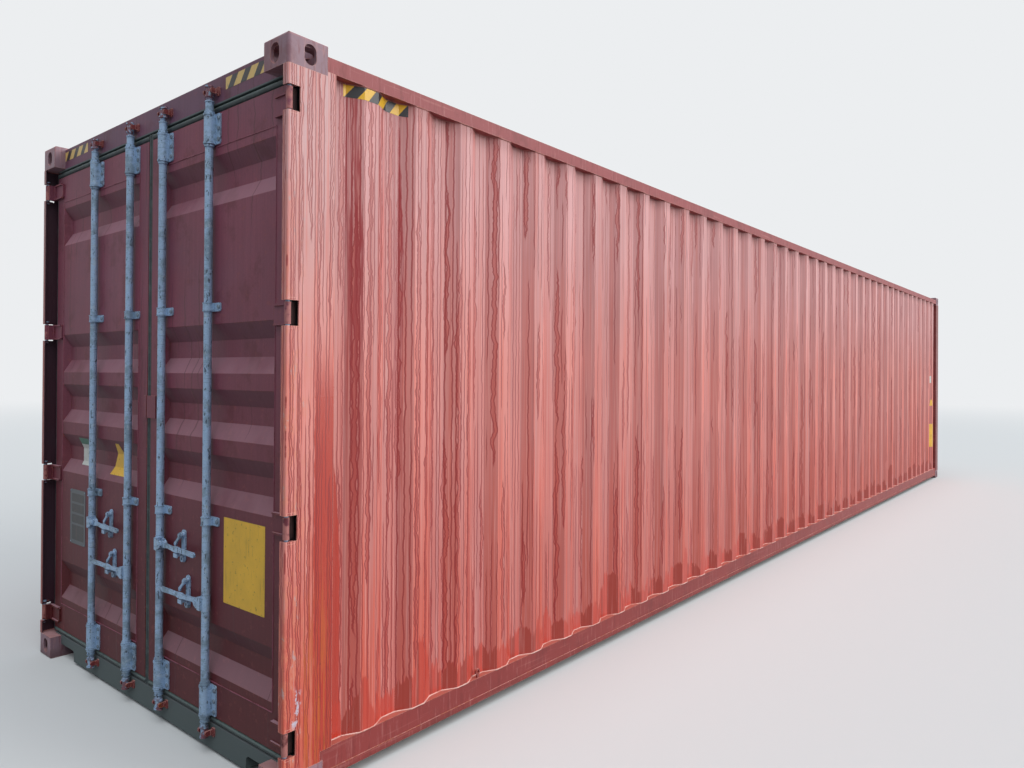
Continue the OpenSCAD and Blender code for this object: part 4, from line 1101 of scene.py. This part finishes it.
def grow(name, points, edges, tree_name, values, finish, body, facing=None):
    """Runs a geometry node tree over a small mesh and keeps the result as a piece."""
    seed_mesh = bpy.data.meshes.new(name + "_path")
    seed_mesh.from_pydata(points, edges, [])
    if facing:
        attribute = seed_mesh.attributes.new("facing", "FLOAT_VECTOR", "POINT")
        for i, direction in enumerate(facing):
            attribute.data[i].vector = direction
    seed_object = linked(name + "_path", seed_mesh)
    tree = bpy.data.node_groups.get(tree_name) or geometry_tree(tree_name, *TREES[tree_name])
    modifier = seed_object.modifiers.new("grow", "NODES")
    modifier.node_group = tree
    wanted = dict(values, Material=material(finish))
    for item in tree.interface.items_tree:
        if item.in_out == "INPUT" and item.name in wanted:
            modifier[item.identifier] = wanted[item.name]
    evaluated = seed_object.evaluated_get(bpy.context.evaluated_depsgraph_get())
    mesh = bpy.data.meshes.new_from_object(evaluated)
    seed_object.modifiers.clear()
    bpy.data.objects.remove(seed_object)
    bpy.data.meshes.remove(seed_mesh)
    if not mesh.polygons:
        raise RuntimeError(f"{name} came out empty")
    mesh.name = name
    return new_object(name, mesh, finish, body)


# Operators


class CONTAINER_OT_paint(bpy.types.Operator):
    """Make every finish and give one to each steel, rubber and wooden part"""

    bl_idname = "container.paint"
    bl_label = "Paint the parts"

    def execute(self, context):
        for name, made in make_finishes().items():
            FINISH_NAMES[name] = made.name
        for node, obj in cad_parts.items():
            obj.data.materials.clear()
            obj.data.materials.append(material(finish_of(node)))
        return {"FINISHED"}


class CONTAINER_OT_stripes(bpy.types.Operator):
    """Slanted yellow and black film on the header and beside the rear posts"""

    bl_idname = "container.stripes"
    bl_label = "Hazard stripes"

    def execute(self, context):
        s = context.scene.container_stripes
        edge = HALF_WIDTH - 0.163
        yellow, black = [], []
        for low, high, start in ((0.745, edge, 0.745), (-edge, -0.680, -0.794)):
            first, second = slanted(low, high, s.low, s.high, start, s.pitch, s.yellow_part, -s.slant)
            yellow.append(film_mesh("y", first, on_door, s.film))
            black.append(film_mesh("b", second, on_door, s.film))
        folds = [w for w, _ in WALL if 0.283 < w < s.side_end]
        pitch = s.pitch * 0.96
        first, second = slanted(0.283, s.side_end, s.side_low, s.side_high, 0.337, pitch, 0.5, s.slant)
        for sign in (-1, 1):
            yellow.append(film_mesh("y", cut_at(first, folds), on_side(sign), s.film))
            black.append(film_mesh("b", cut_at(second, folds), on_side(sign), s.film))
        new_object("stripes_yellow", join_meshes("stripes_yellow", yellow), "yellow", "frame")
        new_object("stripes_black", join_meshes("stripes_black", black), "black", "frame")
        return {"FINISHED"}


def rounded(u0, u1, v0, v1, r, steps=5):
    """Rectangle with round corners."""
    points = []
    for cu, cv, turn in ((u1 - r, v1 - r, 0), (u0 + r, v1 - r, 1), (u0 + r, v0 + r, 2), (u1 - r, v0 + r, 3)):
        for i in range(steps + 1):
            a = math.pi / 2 * (turn + i / steps)
            points.append((cu + r * math.cos(a), cv + r * math.sin(a)))
    return points


def box_form(u0, u1, v0, v1):
    """Rectangle with sharp corners."""
    return [(u0, v0), (u1, v0), (u1, v1), (u0, v1)]


PLATE_FIELDS = ((0.900, 0.046), (0.842, 0.046), (0.784, 0.046), (0.690, 0.082))
STICKER_WEDGE = [(0.292, 1.088), (0.466, 1.088), (0.388, 1.252), (0.352, 1.252)]
END_WEDGE = [(11.702, 1.168), (11.790, 1.168), (11.765, 1.262), (11.720, 1.262)]


class CONTAINER_OT_plates(bpy.types.Operator):
    """Bare patch, plates and stickers on the doors and the far end of the side"""

    bl_idname = "container.plates"
    bl_label = "Plates and patches"

    def execute(self, context):
        film = context.scene.container_stripes.film
        recess_folds = [1.059, 1.128, 1.198, 1.267]
        wall_folds = [w for w, _ in WALL]
        fields = [rounded(0.756, 0.916, z, z + high, 0.004) for z, high in PLATE_FIELDS]
        white = cut_at([box_form(0.727, 0.850, 1.106, 1.222)], recess_folds, 1)
        green = cut_at([box_form(0.727, 0.850, 1.222, 1.256)], recess_folds, 1)
        wedge = cut_at([STICKER_WEDGE], recess_folds, 1)
        labels = cut_at([box_form(11.690, 11.812, 0.520, 0.880), END_WEDGE], wall_folds)
        patch = [rounded(-1.002, -0.693, 0.655, 1.014, 0.004)]
        plate = [rounded(0.734, 0.938, 0.668, 0.968, 0.010)]
        tag = [box_form(11.704, 11.734, 1.526, 1.637)]
        for name, forms, place, thick, finish, body, slot in (
            ("door_patch", patch, on_door, film, "yellow", "right_door", None),
            ("data_plate", plate, on_door, PLATE_THICK, "plate", "left_door", "gear_paint"),
            ("data_plate_fields", fields, plate_face, 0.0005, "black", "left_door", None),
            ("sticker_white", white, on_recess, film, "white", "left_door", None),
            ("sticker_band", green, on_recess, film, "green", "left_door", None),
            ("sticker_wedge", wedge, on_recess, film, "yellow", "left_door", None),
            ("end_labels", labels, on_side(-1), film, "yellow", "frame", "side_paint"),
            ("end_tag", tag, on_side(-1), film, "white", "frame", "side_paint"),
        ):
            new_object(name, film_mesh(name, forms, place, thick), finish, body)
        return {"FINISHED"}


def plate_face(y, z, lift):
    """Point on the face of the data plate."""
    return (DOOR_FACE - PLATE_THICK - lift, y, z)


def head_shape(corners, radius, height, crown, rounding):
    """Inputs of the head tree by name."""
    return {"Corners": corners, "Radius": radius, "Height": height, "Crown": crown, "Rounding": rounding}


def heads(name, points, values, finish, body, facing=(-1, 0, 0)):
    """Bolt, rivet or screw heads on points, all looking one way."""
    grow(name, points, [], "Fixing heads", values, finish, body, [facing] * len(points))


class CONTAINER_OT_bolts(bpy.types.Operator):
    """Hexagon heads on rod brackets, straps and handle retainers, rivets on the plate, screws in the floor"""

    bl_idname = "container.bolts"
    bl_label = "Bolts, rivets and screws"

    def execute(self, context):
        s = context.scene.container_fixings
        face = DOOR_FACE - 0.006
        hexagon = head_shape(6, s.bolt_radius, s.bolt_height, 6.0, 0.18)
        round_head = head_shape(12, 0.0045, 0.003, 2.0, 0.5)
        screw = head_shape(10, s.screw_radius, s.screw_height, 3.0, 0.3)
        for side, sign in (("left", 1), ("right", -1)):
            points = []
            for y in ROD_Y.values():
                for z in (LEAF_LOW + 0.070, LEAF_HIGH - 0.070):
                    corners = [(dy, dz) for dy in (-0.046, 0.046) for dz in (-0.045, 0, 0.045)]
                    points += [(face, sign * y + dy, z + dz) for dy, dz in corners]
                for z in (LEAF_MID - 0.457, LEAF_MID + 0.457):
                    points += [(face, sign * y + dy, z) for dy in (-0.058, 0.058)]
            for y, z in ((0.401, 0.832), (0.358, 0.636)) if sign > 0 else ((-0.358, 0.832), (-0.401, 0.636)):
                points.append((face, y, z - 0.052))
            heads(f"{side}_bolts", points, hexagon, "bolt", f"{side}_door")
        rivets = [(DOOR_FACE - 0.0014, y, z) for y in (0.743, 0.929) for z in (0.677, 0.959)]
        heads("plate_rivets", rivets, round_head, "bolt", "left_door")
        points = []
        low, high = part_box("plywood_floor")
        for k in range(SCREW_ROWS + 1):
            x = DOOR_END + 0.352 + k * SCREW_SPAN / SCREW_ROWS
            if low.x + 0.02 < x < high.x - 0.02:
                points += [(x, y, FLOOR_TOP) for y in SCREW_Y]
        heads("floor_screws", points, screw, "screw", "frame", (0, 0, 1))
        return {"FINISHED"}


def paths(rows):
    """Points and edges of several open paths, each a list of points."""
    points, edges = [], []
    for row in rows:
        points += row
        edges += [(i, i + 1) for i in range(len(points) - len(row), len(points) - 1)]
    return points, edges


class CONTAINER_OT_beads(bpy.types.Operator):
    """Sealant along the foot of the walls and weld beads on walls, castings and doors"""

    bl_idname = "container.beads"
    bl_label = "Sealant and weld beads"

    def execute(self, context):
        s = context.scene.container_fixings
        seal = {"Radius": s.seal_radius, "Step": 0.014, "Ripple": s.ripple}
        weld = {"Radius": s.weld_radius, "Step": 0.010, "Ripple": s.ripple}
        for side, sign in (("left", 1), ("right", -1)):
            foot = [(DOOR_END + x, sign * (w + 0.0004), RAIL_FOOT + 0.001) for x, w in WALL]
            start = [(DOOR_END + x, sign * (HALF_WIDTH - 0.0060), RAIL_FOOT + 0.001) for x in (0.178, 0.217)]
            points, edges = paths([start + foot])
            grow(f"{side}_foot_sealant", points, edges, "Beads", seal, "sealant", "frame")
            eave = [(DOOR_END + x, sign * (w - 0.0002), RAIL_EAVE - 0.001) for x, w in WALL[1:-1]]
            points, edges = paths([eave])
            grow(f"{side}_eave_weld", points, edges, "Beads", weld, "weld_side", "frame")
            rows = [[(DOOR_FACE, sign * y, z) for y in PANEL_EDGE_Y] for z in PANEL_EDGE_Z]
            rows += [[(DOOR_FACE, sign * y, z) for z in PANEL_EDGE_Z] for y in PANEL_EDGE_Y]
            points, edges = paths(rows)
            thin = dict(weld, Radius=0.0026)
            leaf = f"{side}_door"
            grow(f"{leaf}_welds", points, edges, "Beads", thin, "weld_door", leaf)
        side = HALF_WIDTH - 0.0065
        reach = (abs(DOOR_END) - 0.010, abs(DOOR_END) - 0.165)
        heights = (0.118, HEIGHT - 0.118)
        places = [(end, sign * side, z) for end in (-1, 1) for sign in (-1, 1) for z in heights]
        rows = [[(end * x, y, z) for x in reach] for end, y, z in places]
        points, edges = paths(rows)
        grow("casting_welds", points, edges, "Beads", weld, "weld_side", "frame")
        return {"FINISHED"}


class CONTAINER_OT_stage(bpy.types.Operator):
    """Camera, plain pale floor, even sky and two soft lights"""

    bl_idname = "container.stage"
    bl_label = "Stage and camera"

    def execute(self, context):
        s = context.scene.container_stage
        self.camera(context, s)
        self.floor(context, s)
        self.sky(context, s)
        self.sun("high_light", s.high_level, (0.24, 0.30, -0.92), 60, (0.93, 0.97, 1.0))
        self.sun("key_light", s.key_level, (-0.50, 0.80, -0.34), 40, (1.0, 0.985, 0.96))
        context.scene.view_settings.view_transform = "Standard"
        return {"FINISHED"}

    def camera(self, context, s):
        """The photograph's viewpoint."""
        data = bpy.data.cameras.new("camera")
        data.sensor_width = 36
        data.lens = s.lens
        data.shift_x, data.shift_y = CAMERA_SHIFT
        data.clip_start, data.clip_end = 0.05, 400
        yaw, pitch, roll = (math.radians(angle) for angle in CAMERA_DEGREES)
        forward = Vector((math.cos(yaw) * math.cos(pitch), math.sin(yaw) * math.cos(pitch), math.sin(pitch)))
        right = Vector((math.sin(yaw), -math.cos(yaw), 0))
        up = right.cross(forward)
        right, up = right * math.cos(roll) + up * math.sin(roll), up * math.cos(roll) - right * math.sin(roll)
        obj = linked("camera", data)
        turn = Matrix((right, up, -forward)).transposed().to_4x4()
        obj.matrix_world = Matrix.Translation(CAMERA_PLACE) @ turn
        context.scene.camera = obj

    def looked_at(self, t, *rays):
        """1 for the kinds of ray that look at the backdrop, 0 for the ones that light the part."""
        path = t.put("ShaderNodeLightPath").outputs
        seen = path[rays[0]]
        for ray in rays[1:]:
            seen = t.math("ADD", seen, path[ray], clamp=True)
        return seen

    def floor(self, context, s):
        """Plain floor that fades into the backdrop far out."""
        mesh = bpy.data.meshes.new("floor")
        mesh.from_pydata([(-150, -150, 0), (150, -150, 0), (150, 150, 0), (-150, 150, 0)], [], [(0, 1, 2, 3)])
        obj = linked("floor", mesh)
        made = bpy.data.materials.new("stage_floor")
        t = cleared_tree(made)
        seen = self.looked_at(t, "Is Camera Ray", "Is Glossy Ray")
        tone = t.mix(seen, s.floor_bounce[:], s.floor[:])
        lit = t.put("ShaderNodeBsdfPrincipled", {"Base Color": tone, "Roughness": 0.9})
        lit.inputs["Specular IOR Level"].default_value = 0.1
        back = t.put("ShaderNodeEmission", {"Color": s.backdrop[:]})
        place = t.put("ShaderNodeTexCoord").outputs["Object"]
        far = t.put("ShaderNodeVectorMath", {0: place}, operation="LENGTH").outputs["Value"]
        fade = t.both(t.ramp(far, 14.0, 46.0), seen)
        mixed = t.put("ShaderNodeMixShader", {0: fade, 1: lit.outputs[0], 2: back.outputs[0]})
        t.put("ShaderNodeOutputMaterial", {"Surface": mixed.outputs[0]})
        mesh.materials.append(made)

    def sky(self, context, s):
        """Even light, with the pale backdrop where the camera or a reflection looks."""
        world = bpy.data.worlds.new("sky")
        context.scene.world = world
        t = cleared_tree(world)
        seen = self.looked_at(t, "Is Camera Ray", "Is Glossy Ray", "Is Transmission Ray")
        light = t.put("ShaderNodeBackground", {"Color": s.sky[:], "Strength": s.sky_level})
        back = t.put("ShaderNodeBackground", {"Color": s.backdrop[:], "Strength": 1.0})
        mixed = t.put("ShaderNodeMixShader", {0: seen, 1: light.outputs[0], 2: back.outputs[0]})
        t.put("ShaderNodeOutputWorld", {"Surface": mixed.outputs[0]})

    def sun(self, name, level, direction, spread, tint):
        """Soft light that travels along direction."""
        data = bpy.data.lights.new(name, "SUN")
        data.energy = level
        data.angle = math.radians(spread)
        data.color = tint
        obj = linked(name, data)
        obj.rotation_mode = "QUATERNION"
        obj.rotation_quaternion = Vector(direction).normalized().to_track_quat("-Z", "Y")


OPERATORS = (
    CONTAINER_OT_paint,
    CONTAINER_OT_stripes,
    CONTAINER_OT_plates,
    CONTAINER_OT_bolts,
    CONTAINER_OT_beads,
    CONTAINER_OT_stage,
)
SETTINGS = {
    "container_paint": PaintSettings,
    "container_stripes": StripeSettings,
    "container_fixings": FixingSettings,
    "container_stage": StageSettings,
}


class CONTAINER_PT_panel(bpy.types.Panel):
    """Sidebar panel with the operators and their settings"""

    bl_idname = "CONTAINER_PT_panel"
    bl_label = "Container"
    bl_space_type = "VIEW_3D"
    bl_region_type = "UI"
    bl_category = "Container"

    def draw(self, context):
        for operator in OPERATORS:
            self.layout.operator(operator.bl_idname)
        for name, kind in SETTINGS.items():
            box = self.layout.box()
            for key in kind.__annotations__:
                box.prop(getattr(context.scene, name), key)


def register():
    for kind in (*SETTINGS.values(), *OPERATORS, CONTAINER_PT_panel):
        bpy.utils.register_class(kind)
    for name, kind in SETTINGS.items():
        setattr(bpy.types.Scene, name, PointerProperty(type=kind))


def unregister():
    for name in SETTINGS:
        delattr(bpy.types.Scene, name)
    for kind in (CONTAINER_PT_panel, *reversed(OPERATORS), *reversed(list(SETTINGS.values()))):
        bpy.utils.unregister_class(kind)


def main():
    register()
    for operator in OPERATORS:
        area_name, call = operator.bl_idname.split(".")
        getattr(getattr(bpy.ops, area_name), call)()


if __name__ == "__main__":
    main()
